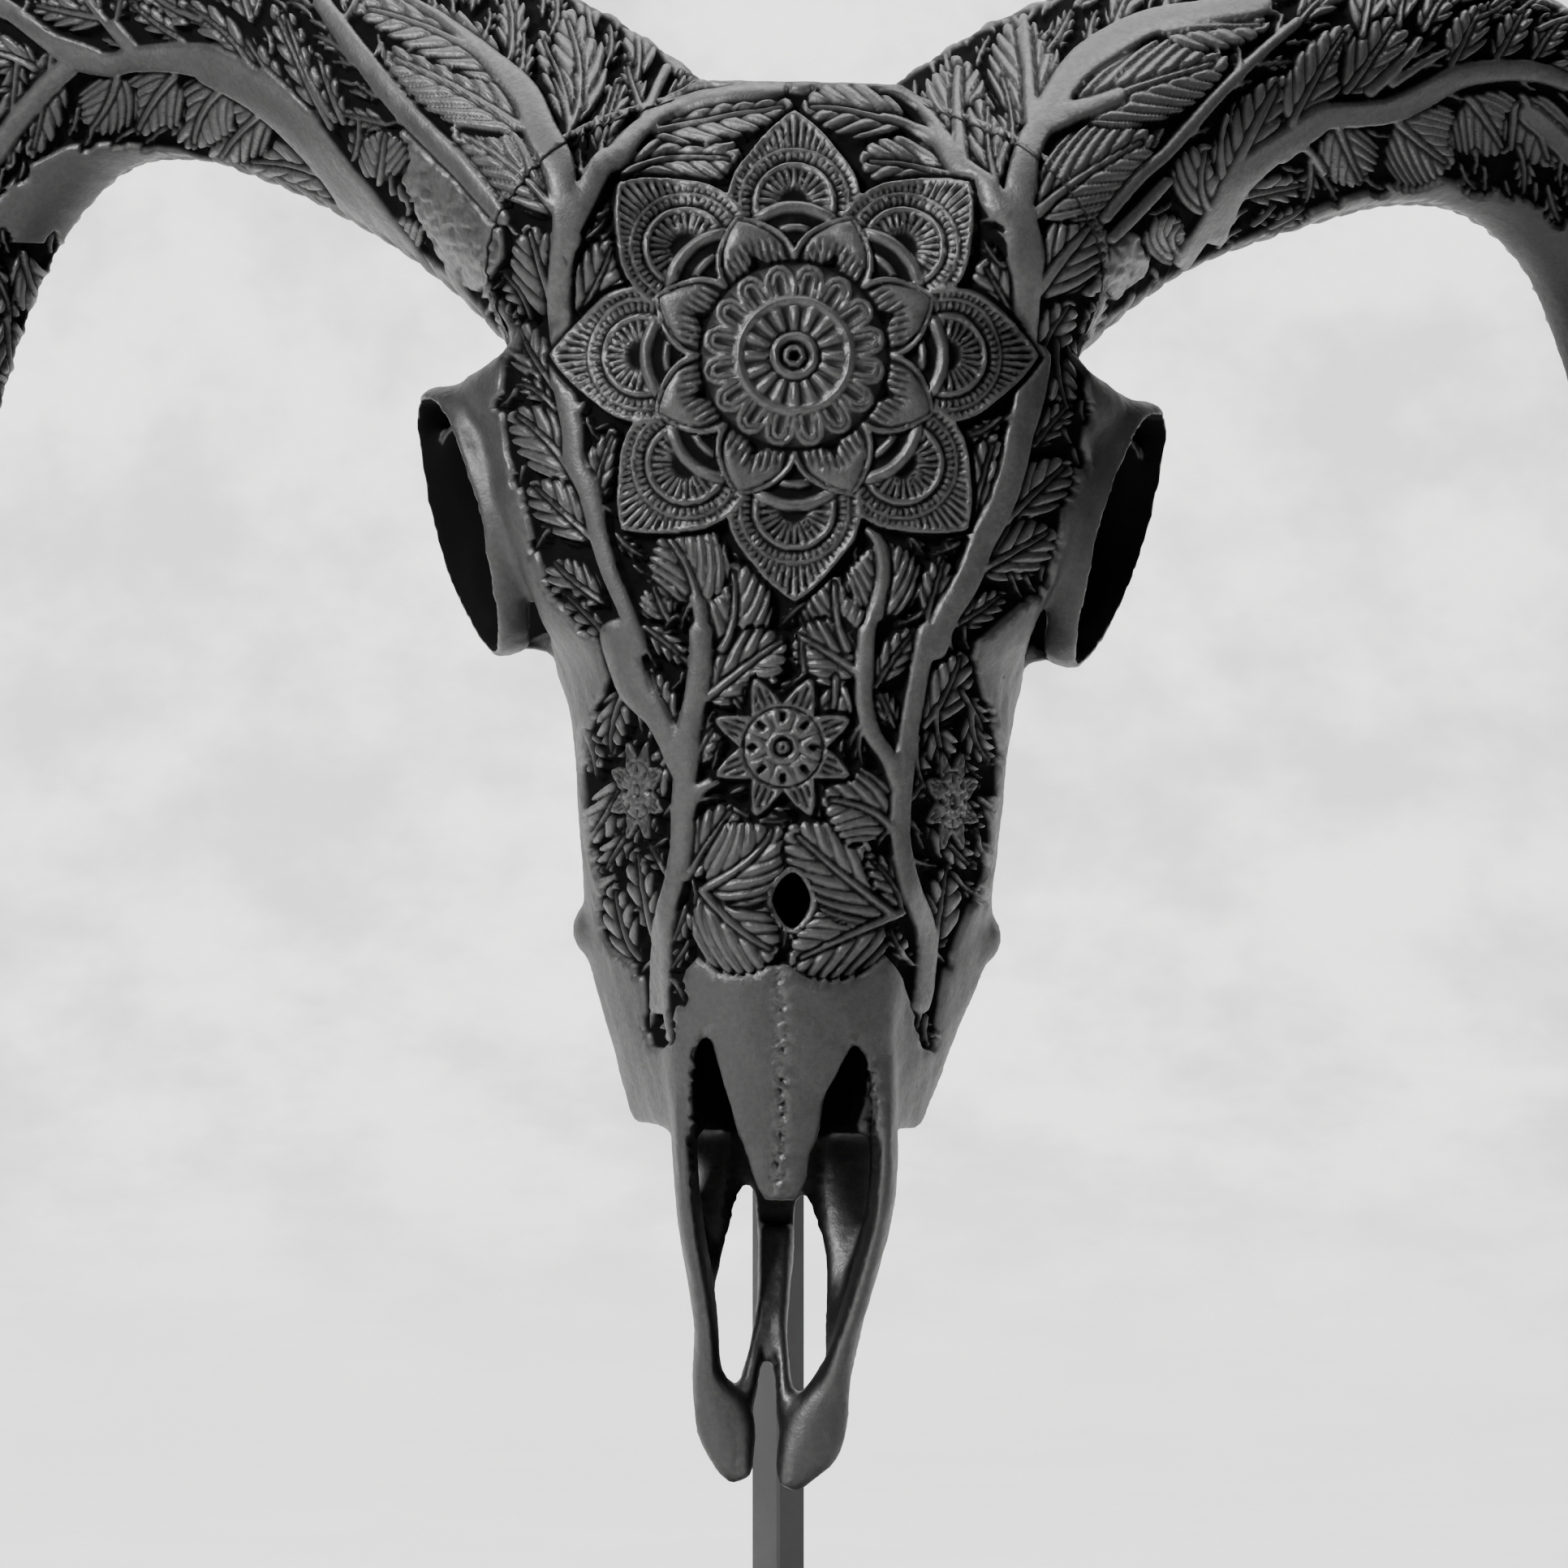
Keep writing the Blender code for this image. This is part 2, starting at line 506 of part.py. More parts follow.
def build_skull(parent, look, horn_sides=(-1, 1)):
    skull = bone_masses(parent)
    remesh = skull.modifiers.new("one bone", "REMESH")
    remesh.mode = "VOXEL"
    remesh.voxel_size = SKULL_VOXEL * MM
    smooth = skull.modifiers.new("soften", "SMOOTH")
    smooth.iterations = 2
    smooth.factor = 0.5
    applied(skull)
    thin = skull.modifiers.new("fewer faces", "DECIMATE")
    thin.ratio = SKULL_TRIANGLES / (2 * len(skull.data.polygons))
    applied(skull)
    for cutter in hollow_cutters(parent):
        add_boolean(skull, cutter)
    for side in horn_sides:
        name = "left" if side < 0 else "right"
        bm = bmesh.new()
        add_skin(bm, horn_rings(side, 14, HORN_SIDES, grow=GAP + 0.1, reach=0.35, root=GAP))
        add_boolean(skull, hide(mesh_object(f"horn_room_{name}", bm, parent)))
        bm = bmesh.new()
        rings = horn_rings(side, 6, HORN_SIDES, scale=CORE_SCALE, grow=-GAP - 0.1, reach=CORE_REACH, root=CORE_ROOT)
        add_skin(bm, rings)
        add_boolean(skull, hide(mesh_object(f"horn_core_{name}", bm, parent)), "UNION")
        for number in range(len(TOOTH_ROOTS)):
            bm = bmesh.new()
            add_skin(bm, tooth_rings(number, side, grow=GAP))
            add_boolean(skull, hide(mesh_object(f"socket_{name}_{number + 1}", bm, parent)))
    skull.data.materials.append(look)
    return skull


def build_horn(side, parent, look):
    name = "left" if side < 0 else "right"
    bm = bmesh.new()
    add_skin(bm, horn_rings(side, HORN_RINGS, HORN_SIDES))
    horn = mesh_object(f"horn_{name}", bm, parent, look)
    bm = bmesh.new()
    add_skin(bm, horn_rings(side, 6, HORN_SIDES, scale=CORE_SCALE, reach=CORE_REACH * 1.02, root=4))
    add_boolean(horn, hide(mesh_object(f"horn_socket_{name}", bm, parent)))
    horn.data.shade_smooth()
    return horn


def build_teeth(side, parent, look):
    name = "left" if side < 0 else "right"
    for number in range(len(TOOTH_ROOTS)):
        bm = bmesh.new()
        add_skin(bm, tooth_rings(number, side))
        mesh_object(f"tooth_{name}_{number + 1}", bm, parent, look)


def build_stand(skull_frame, look):
    bm = bmesh.new()
    bmesh.ops.create_cube(bm, size=1, matrix=Matrix.Diagonal((*(size * MM for size in BASE_SIZE), 1)))
    base = mesh_object("stand_base", bm, None, look)
    base.location.z = BASE_SIZE[2] / 2 * MM
    edge = base.modifiers.new("eased edges", "BEVEL")
    edge.width = BASE_EDGE_BEVEL * MM
    edge.segments = 2
    bottom = BASE_SIZE[2] + GAP
    top = NOSE_ABOVE_FLOOR + POST_TOP
    bm = bmesh.new()
    bmesh.ops.create_cube(
        bm, size=1, matrix=Matrix.Diagonal((POST_SIDE * MM, POST_SIDE * MM, (top - bottom) * MM, 1))
    )
    post = mesh_object("stand_post", bm, None, look)
    post.rotation_euler.z = pi / 4
    post.location = Vector((POST_AT[0], POST_AT[1] + SKULL_TO_BASE_Y, (top + bottom) / 2)) * MM
    corner = post.modifiers.new("eased arrises", "BEVEL")
    corner.width = 0.5 * MM
    corner.segments = 1
    bm = bmesh.new()
    add_skin(bm, pin_rings())
    pin = mesh_object("stand_pin", bm, None, look)
    pin.location = skull_frame
    pin.data.shade_smooth()


def pin_rings(steps=12):
    """Round rings along the pin's bend, each square to its way."""
    centres = curve_through(PIN_PATH, steps)
    along = unit(np.gradient(centres, axis=0))
    across = unit(np.array([1.0, 0, 0]) - along[:, :1] * along)
    behind = np.cross(along, across)
    turn = np.linspace(0, 2 * pi, PIN_SIDES, endpoint=False)[:, None]
    return centres[:, None] + PIN_RADIUS * (np.cos(turn) * across[:, None] + np.sin(turn) * behind[:, None])


def main():
    clear_scene()
    skull_origin = Vector((0, SKULL_TO_BASE_Y, NOSE_ABOVE_FLOOR)) * MM
    hang = bpy.data.objects.new("skull_hang", None)
    bpy.context.scene.collection.objects.link(hang)
    hang.location = skull_origin + Vector((SKULL_OFFSET_X * MM, 0, 0))
    hang.rotation_euler.y = SKULL_LEAN
    bone = material("painted bone", (0.012, 0.012, 0.013), 0.45)
    horn = material("painted horn", (0.013, 0.013, 0.013), 0.42)
    tooth = material("painted enamel", (0.014, 0.014, 0.015), 0.38)
    steel = material("black steel", (0.02, 0.02, 0.021), 0.4, 1.0)
    build_skull(hang, bone)
    for side in (-1, 1):
        build_horn(side, hang, horn)
        build_teeth(side, hang, tooth)
    build_stand(skull_origin, steel)


main()
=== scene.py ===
# %% [markdown]
# A real ram's skull hangs nose down on a steel post. Someone carved its forehead, cheeks and horns in
# relief and painted the whole of it satin black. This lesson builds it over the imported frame: the bone
# first, then a flat drawing of the carving that is pressed into the bone, then the horns, the teeth, the
# stand and the paint. The frame gives the size and the place, and nothing here changes either.

# %% Load the frame
from math import cos, pi, radians, sin

import bpy
import numpy as np
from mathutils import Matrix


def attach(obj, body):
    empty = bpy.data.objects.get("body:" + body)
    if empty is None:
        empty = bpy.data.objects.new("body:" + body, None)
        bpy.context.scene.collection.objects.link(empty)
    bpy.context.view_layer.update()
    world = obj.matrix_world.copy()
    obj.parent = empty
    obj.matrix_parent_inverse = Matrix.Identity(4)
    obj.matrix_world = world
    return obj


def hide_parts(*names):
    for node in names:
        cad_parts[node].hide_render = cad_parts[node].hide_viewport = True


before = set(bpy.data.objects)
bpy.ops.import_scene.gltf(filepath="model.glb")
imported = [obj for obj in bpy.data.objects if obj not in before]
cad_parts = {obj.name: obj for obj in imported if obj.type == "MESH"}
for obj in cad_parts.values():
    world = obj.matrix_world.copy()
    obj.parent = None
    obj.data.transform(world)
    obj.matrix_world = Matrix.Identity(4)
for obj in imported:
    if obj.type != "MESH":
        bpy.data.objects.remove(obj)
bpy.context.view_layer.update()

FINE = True
print("frame nodes:", sorted(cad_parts))

# %% [markdown]
# The tables below are in millimetres in the skull's own frame: X to the viewer's right, Y to the back, Z up,
# with the nose tip at the origin. The skull hangs with a small lean, so one function takes its points to
# the world, and a second one says where the photo shows a point. The photo was taken from straight ahead,
# 1.5 m away, and one of its pixels covers 0.155 mm at the nose.

# %% The skull's frame and the photo's camera
MM = 0.001
NOSE_ABOVE_FLOOR = 98.0
SKULL_OFFSET_X = -2.8
SKULL_TO_BASE_Y = -75.0
SKULL_LEAN = radians(1.2)
GAP = 0.3  # between a tooth or a horn's core and what holds it

PHOTO_SIZE = 1932
PHOTO_MIDDLE = 966
NOSE_PIXEL_Y = 1830
MM_PER_PIXEL = 0.155
CAMERA_DISTANCE = 1500.0
CAMERA_Y = SKULL_TO_BASE_Y - CAMERA_DISTANCE
CAMERA_Z = NOSE_ABOVE_FLOOR + (NOSE_PIXEL_Y - PHOTO_MIDDLE) * MM_PER_PIXEL
SENSOR = 36.0
SIDES = {-1: "left", 1: "right"}


def hung(points):
    """Skull millimetres to world metres: turned by the lean about Y, then moved over the base."""
    x, y, z = np.moveaxis(np.asarray(points, float), -1, 0)
    across = x * cos(SKULL_LEAN) + z * sin(SKULL_LEAN) + SKULL_OFFSET_X
    up = z * cos(SKULL_LEAN) - x * sin(SKULL_LEAN) + NOSE_ABOVE_FLOOR
    return np.stack([across, y + SKULL_TO_BASE_Y, up], axis=-1) * MM


def in_photo(points):
    """Photo pixels of skull points: offsets from the lens axis, smaller for what lies behind the nose."""
    x, y, z = np.moveaxis(hung(points) / MM, -1, 0)
    scale = CAMERA_DISTANCE / (y - CAMERA_Y) / MM_PER_PIXEL
    return np.stack([PHOTO_MIDDLE + x * scale, PHOTO_MIDDLE - (z - CAMERA_Z) * scale], axis=-1)


camera = bpy.data.objects.new("camera", bpy.data.cameras.new("camera"))
bpy.context.scene.collection.objects.link(camera)
camera.location = (0, CAMERA_Y * MM, CAMERA_Z * MM)
camera.rotation_euler = (pi / 2, 0, 0)
camera.data.sensor_width = SENSOR
camera.data.lens = SENSOR * CAMERA_DISTANCE / (PHOTO_SIZE * MM_PER_PIXEL)
bpy.context.scene.camera = camera
print("nose tip in the photo:", in_photo([(0, 0, 0)]).round())

# %% [markdown]
# Every surface here is a stack of rings: a grid of points whose rows are closed loops. Neighbouring rings
# are joined with triangles, and the two ends are closed with a fan to their middle. The signed volume of
# the result tells whether its faces look out, so a stack that was drawn the other way round is turned.

# %% Rings to closed skins
def curve_through(points, count, closed=False):
    """Rows on a Catmull-Rom curve: a cubic through the knots, its slope at each half the chord past it."""
    points = np.asarray(points, float)
    spans = len(points) if closed else len(points) - 1
    place = np.linspace(0, spans, count, endpoint=not closed)
    first = np.minimum(place.astype(int), spans - 1)
    t = (place - first).reshape(-1, *[1] * (points.ndim - 1))

    def knot(step):
        index = first + step
        return points[index % len(points)] if closed else points[np.clip(index, 0, len(points) - 1)]

    before, start, end, after = knot(-1), knot(0), knot(1), knot(2)
    return 0.5 * (
        2 * start
        + (end - before) * t
        + (2 * before - 5 * start + 4 * end - after) * t**2
        + (3 * start - before - 3 * end + after) * t**3
    )


def unit(vectors):
    vectors = np.asarray(vectors, float)
    return vectors / np.linalg.norm(vectors, axis=-1, keepdims=True)


def smooth_step(low, high, value):
    """0 below low, 1 above high, and 3t^2 - 2t^3 between."""
    t = np.clip((value - low) / (high - low), 0, 1)
    return t * t * (3 - 2 * t)


def skin(rings, capped=True):
    """Points and outward triangles of a stack of rings, closed with two end fans or joined end to end."""
    rings = np.asarray(rings, float)
    count, around, _ = rings.shape
    rows = np.arange(count - 1 if capped else count)
    row, col = np.meshgrid(rows, np.arange(around), indexing="ij")
    next_row, next_col = (row + 1) % count, (col + 1) % around
    quad = ((row, col), (row, next_col), (next_row, next_col), (next_row, col))
    a, b, c, d = ((across * around + along).ravel() for across, along in quad)
    faces = [np.stack([a, b, c], axis=1), np.stack([a, c, d], axis=1)]
    points = rings.reshape(-1, 3)
    if capped:
        points = np.concatenate([points, [rings[0].mean(axis=0)], [rings[-1].mean(axis=0)]])
        here = np.arange(around)
        there = (here + 1) % around
        last = (count - 1) * around
        faces.append(np.stack([there, here, np.full(around, count * around)], axis=1))
        faces.append(np.stack([last + here, last + there, np.full(around, count * around + 1)], axis=1))
    faces = np.concatenate(faces)
    first, second, third = (points[faces[:, k]] for k in range(3))
    if np.einsum("ij,ij->", np.cross(first, second), third) < 0:
        faces = faces[:, ::-1]
    return points, faces


def joined(skins):
    """Several skins as one set of points and triangles."""
    start, all_points, all_faces = 0, [], []
    for points, faces in skins:
        all_points.append(points)
        all_faces.append(faces + start)
        start += len(points)
    return np.concatenate(all_points), np.concatenate(all_faces)


def mesh_object(name, points, faces):
    """A mesh object at the origin from arrays of points and triangles."""
    mesh = bpy.data.meshes.new(name)
    mesh.vertices.add(len(points))
    mesh.vertices.foreach_set("co", np.asarray(points, np.float32).ravel())
    mesh.loops.add(faces.size)
    mesh.loops.foreach_set("vertex_index", np.ascontiguousarray(faces, np.int32).ravel())
    mesh.polygons.add(len(faces))
    mesh.polygons.foreach_set("loop_start", np.arange(0, faces.size, faces.shape[1], dtype=np.int32))
    mesh.update(calc_edges=True)
    made = bpy.data.objects.new(name, mesh)
    bpy.context.scene.collection.objects.link(made)
    return made


def points_of(mesh):
    flat = np.empty(len(mesh.vertices) * 3, np.float32)
    mesh.vertices.foreach_get("co", flat)
    return flat.reshape(-1, 3).astype(float)


def normals_of(mesh):
    flat = np.empty(len(mesh.vertices) * 3, np.float32)
    mesh.vertex_normals.foreach_get("vector", flat)
    return flat.reshape(-1, 3).astype(float)


def move_points(mesh, points):
    mesh.vertices.foreach_set("co", np.asarray(points, np.float32).ravel())
    mesh.update()


def shade_smooth(mesh):
    mesh.polygons.foreach_set("use_smooth", np.ones(len(mesh.polygons), bool))


def modified(thing, kind, **settings):
    """The object with one modifier made part of its mesh."""
    modifier = thing.modifiers.new(kind.lower(), kind)
    for name, value in settings.items():
        setattr(modifier, name, value)
    graph = bpy.context.evaluated_depsgraph_get()
    mesh = bpy.data.meshes.new_from_object(thing.evaluated_get(graph))
    thing.modifiers.clear()
    thing.data = mesh
    return thing


def cut(thing, points, faces, operation="DIFFERENCE"):
    """The object with a closed skin cut from it or joined to it."""
    tool = mesh_object("tool", points, faces)
    modified(thing, "BOOLEAN", object=tool, operation=operation, solver="MANIFOLD")
    bpy.data.objects.remove(tool)


# %% [markdown]
# The skull is bone of one growth, but it is easiest to think of as masses that run into each other: the long
# face, the thin nasal shield, the jaw bars, the braincase, the rims of the eye sockets and the flares that
# carry the horns. Each is a stack of rings. The same numbers shaped the frame's plainer solid.

# %% Tables of the skull
FACE_SECTIONS = {
    67: ((0, -1.8), (9, 0), (18, 6), (21, 16), (25, 32), (28.5, 45), (25.5, 51), (12, 49), (0, 47.5)),
    80: ((0, -3.6), (10, -2.2), (19.5, 3.5), (23, 15), (29, 32), (32, 47), (28, 56), (13, 54), (0, 53.5)),
    100: ((0, -6), (11, -4.8), (21, 1), (25, 13), (34, 33), (38, 50), (33, 62), (14, 62), (0, 62)),
    115: ((0, -7), (12, -6), (23, -1), (29, 10), (37, 28), (39, 46), (35, 62), (15, 68), (0, 69)),
    128: ((0, -7.5), (13, -6.5), (25, -1.5), (32, 9), (39, 26), (40, 46), (36, 64), (16, 74), (0, 75)),
    144: ((0, -8), (15, -7.2), (28, -2), (36, 10), (41, 28), (41, 48), (37, 68), (17, 80), (0, 82)),
    156: ((0, -8), (17, -7.5), (31, -3.2), (38, 7), (43, 24), (45, 44), (38, 62), (18, 76), (0, 78)),
    166: ((0, -8), (19, -7.6), (35, -3.8), (43, 5), (48, 17), (44, 32), (30, 46), (20, 62), (0, 70)),
    185: ((0, -8), (21, -7.6), (39, -3.5), (49, 5), (55.5, 17), (44, 25), (26, 36), (22, 60), (0, 72)),
    200: ((0, -8), (22, -7.6), (40, -3.5), (51, 6), (59, 20), (50, 32), (28, 40), (25, 66), (0, 80)),
    209: ((0, -8), (22, -7.5), (40, -3), (54, 8), (64.5, 26), (63, 42), (34, 50), (28, 72), (0, 88)),
    217: ((0, -7.5), (22, -7), (38, -2.5), (49, 6), (55.5, 20), (52, 38), (37, 56), (29, 78), (0, 93)),
    228: ((0, -6), (22, -5.5), (36, -1), (45, 8), (49, 20), (46, 38), (37, 58), (26, 80), (0, 93)),
    240: ((0, -4), (20, -3.5), (33, 1), (40, 11), (43, 24), (40, 40), (34, 58), (22, 76), (0, 84)),
    252: ((0, 0.5), (18, 1), (28, 5), (35, 13), (38, 24), (35, 38), (29, 52), (18, 64), (0, 68)),
    262: ((0, 6), (15, 7), (24, 11), (29, 17), (31, 25), (29, 36), (23, 46), (14, 55), (0, 58)),
    269.5: ((0, 13), (11, 13.6), (19, 16), (23, 21), (24, 27), (22, 33), (16, 39), (9, 44), (0, 46)),
}
# Nasal bones: height, left half width, right half width, front, arch radius
NASAL_SHIELD = (
    (54, -2.6, 4.2, 1.2, 14), (57, -4.0, 5.6, 0.6, 15), (62, -5.8, 6.8, -0.2, 16.5),
    (68, -7.7, 8.1, -1.2, 18), (74, -9.5, 8.8, -2.2, 20), (80, -11.6, 11.9, -3.0, 22),
    (86, -16.5, 15.5, -4.0, 24), (104, -21, 21, -5.4, 26),
)
NASAL_WALL = 2.4
PALATE_SLOPE = 0.447
PALATE_START = 18.0
PALATE_PLATE = ((57, 14.0), (64, 17.0), (76, 19.0))
PALATE_WALL = 4.0
# Bars: centre x, y, z, then half thickness across and half depth
PREMAXILLA = {
    -1: ((21.0, 20, 104, 2.8, 15), (19.0, 17.5, 84, 2.4, 14), (18.0, 17, 66, 2.3, 13.5),
         (16.4, 17, 50, 2.5, 12.5), (13.9, 18, 36, 2.4, 9.5), (12.7, 18.6, 27, 2.4, 8.0),
         (12.3, 18, 19, 3.2, 6.4), (9.0, 17.4, 11, 6.0, 4.8), (7.2, 16.6, 4.0, 4.6, 3.8),
         (5.4, 16, -0.6, 2.6, 2.6)),
    1: ((21.5, 20, 104, 2.8, 15), (20.6, 17.5, 84, 2.6, 14), (20.8, 17, 66, 2.6, 13.5),
        (20.4, 17, 54, 2.7, 12.5), (18.0, 18, 42, 2.6, 9.5), (14.9, 18.6, 30, 2.5, 8.0),
        (12.4, 18, 20.5, 3.2, 6.4), (9.6, 17.4, 12.5, 5.8, 4.8), (7.4, 16.8, 6.5, 6.4, 4.0),
        (5.1, 16.4, 1.6, 4.4, 3.4), (3.7, 16, -2.0, 2.4, 2.4)),
}
PALATAL_SHELF = {
    -1: ((13.2, 22, 24, 1.4, 3), (13.4, 25, 34, 2.2, 3), (13.0, 29, 44, 3.5, 2.6), (12.2, 34, 54, 6.0, 2.4),
         (11, 38.5, 62, 9.5, 2.4), (11, 42.5, 70, 10, 2.4)),
    1: ((12.0, 22, 22, 1.8, 3), (13.2, 25, 34, 3.2, 3), (14.2, 29, 44, 4.8, 2.6), (13.2, 34, 53, 7.4, 2.4),
        (11.5, 38.5, 62, 10, 2.4), (11, 42.5, 70, 10, 2.4)),
}
PALATINE_BLADES = {
    -1: ((3.0, 41, 60, 1.6, 4), (1.9, 33, 42, 1.2, 5), (2.6, 26, 28, 1.2, 4.6), (5.4, 19.5, 13, 2.2, 3.6)),
    1: ((1.6, 41, 60, 2.4, 4), (1.9, 33, 42, 1.9, 5), (1.6, 25.5, 27, 1.3, 4.6), (3.2, 19, 10, 2.0, 3.6)),
}
ALVEOLAR_RIDGE = (
    (24.5, 49, 74, 6.0, 7.0), (27, 55, 88, 7.0, 8.0), (30, 64, 110, 7.6, 9.0), (30.5, 72, 132, 7.6, 9.0),
    (28, 77, 147, 5.5, 6.5),
)
PTERYGOID = ((15, 78, 142, 2.4, 8), (12, 84, 158, 2.0, 8), (10, 84, 174, 2.2, 7), (9, 80, 190, 3.0, 5))
ORBIT_RIM = (
    (69, 40, 209), (65, 29, 206.5), (60.5, 20.5, 197), (56.5, 17, 185), (54.5, 19, 173.5), (53, 27, 163.5),
    (54.5, 40, 159.5), (59.5, 52, 165.5), (65, 60, 177), (68.8, 61, 190), (70.6, 57, 201),
    (70.6, 50, 207.5),
)
ORBIT_RIM_HALF = (1.5, 4.0)
POSTORBITAL_PLATE = (
    (58, 46, 205, 8, 3.0), (62, 56, 197, 8.5, 2.2), (60.5, 60.5, 187, 8.5, 2.0), (56.5, 59, 176, 8.5, 2.0),
    (50, 51, 167, 8, 2.4), (45, 42, 161, 6, 3),
)
ZYGOMATIC_ARCH = (
    (56, 48, 162, 3.2, 6.0), (62, 60, 172, 2.6, 6.4), (64, 71, 187, 2.6, 5.4), (60, 79, 202, 2.8, 4.6),
    (48, 80, 214, 3.6, 5.0), (33, 75, 220, 5.0, 7.0),
)
JUGULAR_PROCESS = (
    (23, 84, 238, 5, 6), (27, 97, 231, 3.4, 5), (28, 108, 223, 2.6, 4), (26, 116, 215, 1.8, 2.6),
)
SKULL_BASE = ((0, 66, 166, 8, 8), (0, 76, 186, 11, 8), (0, 86, 208, 14, 8), (0, 93, 230, 17, 8))
NUCHAL_CREST = ((-25, 58, 250), (-17, 57, 260), (0, 56, 264.5), (17, 57, 260), (25, 58, 250))
NUCHAL_CREST_HALF = (2.6, 3.4)
# Knobs: distance from the mid plane, y, z, and the three half sizes
KNOBS = {
    "condyle": ((13, 96, 239), (7.5, 8.5, 9.5)),
    "bulla": ((19, 92, 208), (7.5, 8.5, 10)),
    "facial tuber": ((36.5, 50, 104.5), (4.6, 9, 5.5)),
}
# Centres and half sizes
BRAINCASE = ((0, 60, 221), (33, 34, 35))
# How much further the right cheek stands out, fading in and out over the heights
RIGHT_CHEEK_SHIFT = 2.4
RIGHT_CHEEK_HEIGHTS = (72, 98, 146, 166)

ORBIT_CENTRE = (62.5, 39.5, 183.6)
ORBIT_AXIS = (0.93, -0.236, -0.28)
ORBIT_HALF = (34, 17.5, 19.6)
# The airway: height, half width, front, back
NASAL_CAVITY = (
    (48, 12.5, 7, 34), (58, 13.6, 4, 38), (70, 15, 2.5, 43), (86, 17.5, 1, 49), (104, 19.5, -0.5, 56),
    (124, 20, -1, 62), (140, 14, 6, 60), (150, 6, 16, 50),
)
NASAL_NOTCH = {
    -1: ((3.0, 49), (3.8, 56.5), (5.8, 62), (7.7, 68), (9.5, 74), (11.4, 80), (13.6, 86), (16.0, 82),
         (16.4, 76), (15.8, 66), (14.2, 57), (13.2, 49)),
    1: ((4.6, 49), (5.4, 56), (6.9, 62), (8.1, 68), (8.8, 74), (11.3, 79), (14.6, 84.8), (17.4, 80),
        (18.2, 74), (18.2, 66), (17.8, 57), (17.0, 49)),
}
NASAL_NOTCH_Y = (-9, 14)
PIERCED_DIAMOND = ((2.0, 106.2), (5.6, 111.6), (2.2, 117.4), (-1.9, 112.4))
PIERCED_DIAMOND_Y = (-12, 12)
CHOANA = ((0, 84, 143), (7.5, 14, 15))
BRAIN_HOLLOW = ((0, 60, 221), (25, 26, 27))
# Centre, axis, radius and half length of the hole that the stand's pin goes through
FORAMEN_MAGNUM = ((0, 88, 245), (0, 0.65, 0.76), 9.5, 26)

# %% [markdown]
# These functions turn a table into rings. A bar's rings are ovals square to its way. The face is lofted
# through half sections that are mirrored, with the right cheek standing a little further out.

# %% Rings of the skull's masses
def mirrored(path, side):
    return [(side * row[0], *row[1:]) for row in path]


def cheek_shift(side, height):
    """How far a point of the cheek at this height stands out beyond the left side's."""
    return np.interp(height, RIGHT_CHEEK_HEIGHTS, (0, 1, 1, 0)) * RIGHT_CHEEK_SHIFT if side > 0 else 0.0


def on_cheek(path, side):
    return [(side * (row[0] + cheek_shift(side, row[2])), *row[1:]) for row in path]


def turns(sides):
    return np.linspace(0, 2 * pi, sides, endpoint=False)[:, None]


def boxed(wave, power):
    """A sine or cosine made squarer: its sign times its size to a power below 1."""
    return np.sign(wave) * np.abs(wave) ** power


def bar_rings(path, steps=40, sides=24, across=(1.0, 0, 0), hand=1):
    """centre + cos(turn) * half width * across + sin(turn) * half depth * behind, along the path. Across is
    the given way made square to the path, and behind is square to both."""
    path = curve_through(path, steps)
    centres, halves = path[:, :3], path[:, 3:5]
    along = unit(np.gradient(centres, axis=0))
    across = unit(np.array(across) - (along @ np.array(across))[:, None] * along)
    behind = np.cross(along, across) * hand
    turn = turns(sides)
    return (
        centres[:, None]
        + np.cos(turn) * across[:, None] * halves[:, None, :1]
        + np.sin(turn) * behind[:, None] * halves[:, None, 1:]
    )


def ellipsoid_rings(centre, halves, axis=None, steps=30, sides=48):
    """Circles of radius sin(latitude) at cos(latitude) along the axis, stretched to the three half sizes."""
    first = unit(axis) if axis is not None else np.array([1.0, 0, 0])
    guide = np.array([0, 0, 1.0]) if abs(first[2]) < 0.9 else np.array([0, 1.0, 0])
    second = unit(np.cross(guide, first))
    third = np.cross(first, second)
    latitude = np.linspace(0.02, pi - 0.02, steps)[:, None, None]
    turn = turns(sides)[None]
    return (
        np.asarray(centre, float)
        + np.cos(latitude) * halves[0] * first
        + np.sin(latitude) * (np.cos(turn) * halves[1] * second + np.sin(turn) * halves[2] * third)
    )


def face_rings(steps=150, sides=180):
    """The face from the upper jaw to the poll, each ring mirrored from its half section."""
    heights = list(FACE_SECTIONS)
    loops = curve_through([[(x, y, z) for x, y in FACE_SECTIONS[z]] for z in heights], steps)
    rings = []
    for half in loops:
        other = half[-2:0:-1] * (-1, 1, 1)
        fullness = np.minimum(1, (half[:, 0] / half[:, 0].max()) ** 2)
        half = half + np.outer(fullness, (cheek_shift(1, half[0, 2]), 0, 0))
        rings.append(curve_through(np.concatenate([half, other]), sides, closed=True))
    return rings


def nasal_rings(steps=50, arc_points=40):
    """The nasal shield: front + radius - sqrt(radius^2 - x^2) between its edges, and a wall behind it."""
    rings = []
    for height, left, right, front, radius in curve_through(NASAL_SHIELD, steps):
        x = np.linspace(left, right, arc_points)
        y = front + radius - np.sqrt(np.maximum(radius**2 - x**2, 0.1))
        outer = np.stack([x, y, np.full_like(x, height)], axis=1)
        rings.append(np.concatenate([outer, outer[::-1] + (0, NASAL_WALL, 0)]))
    return rings


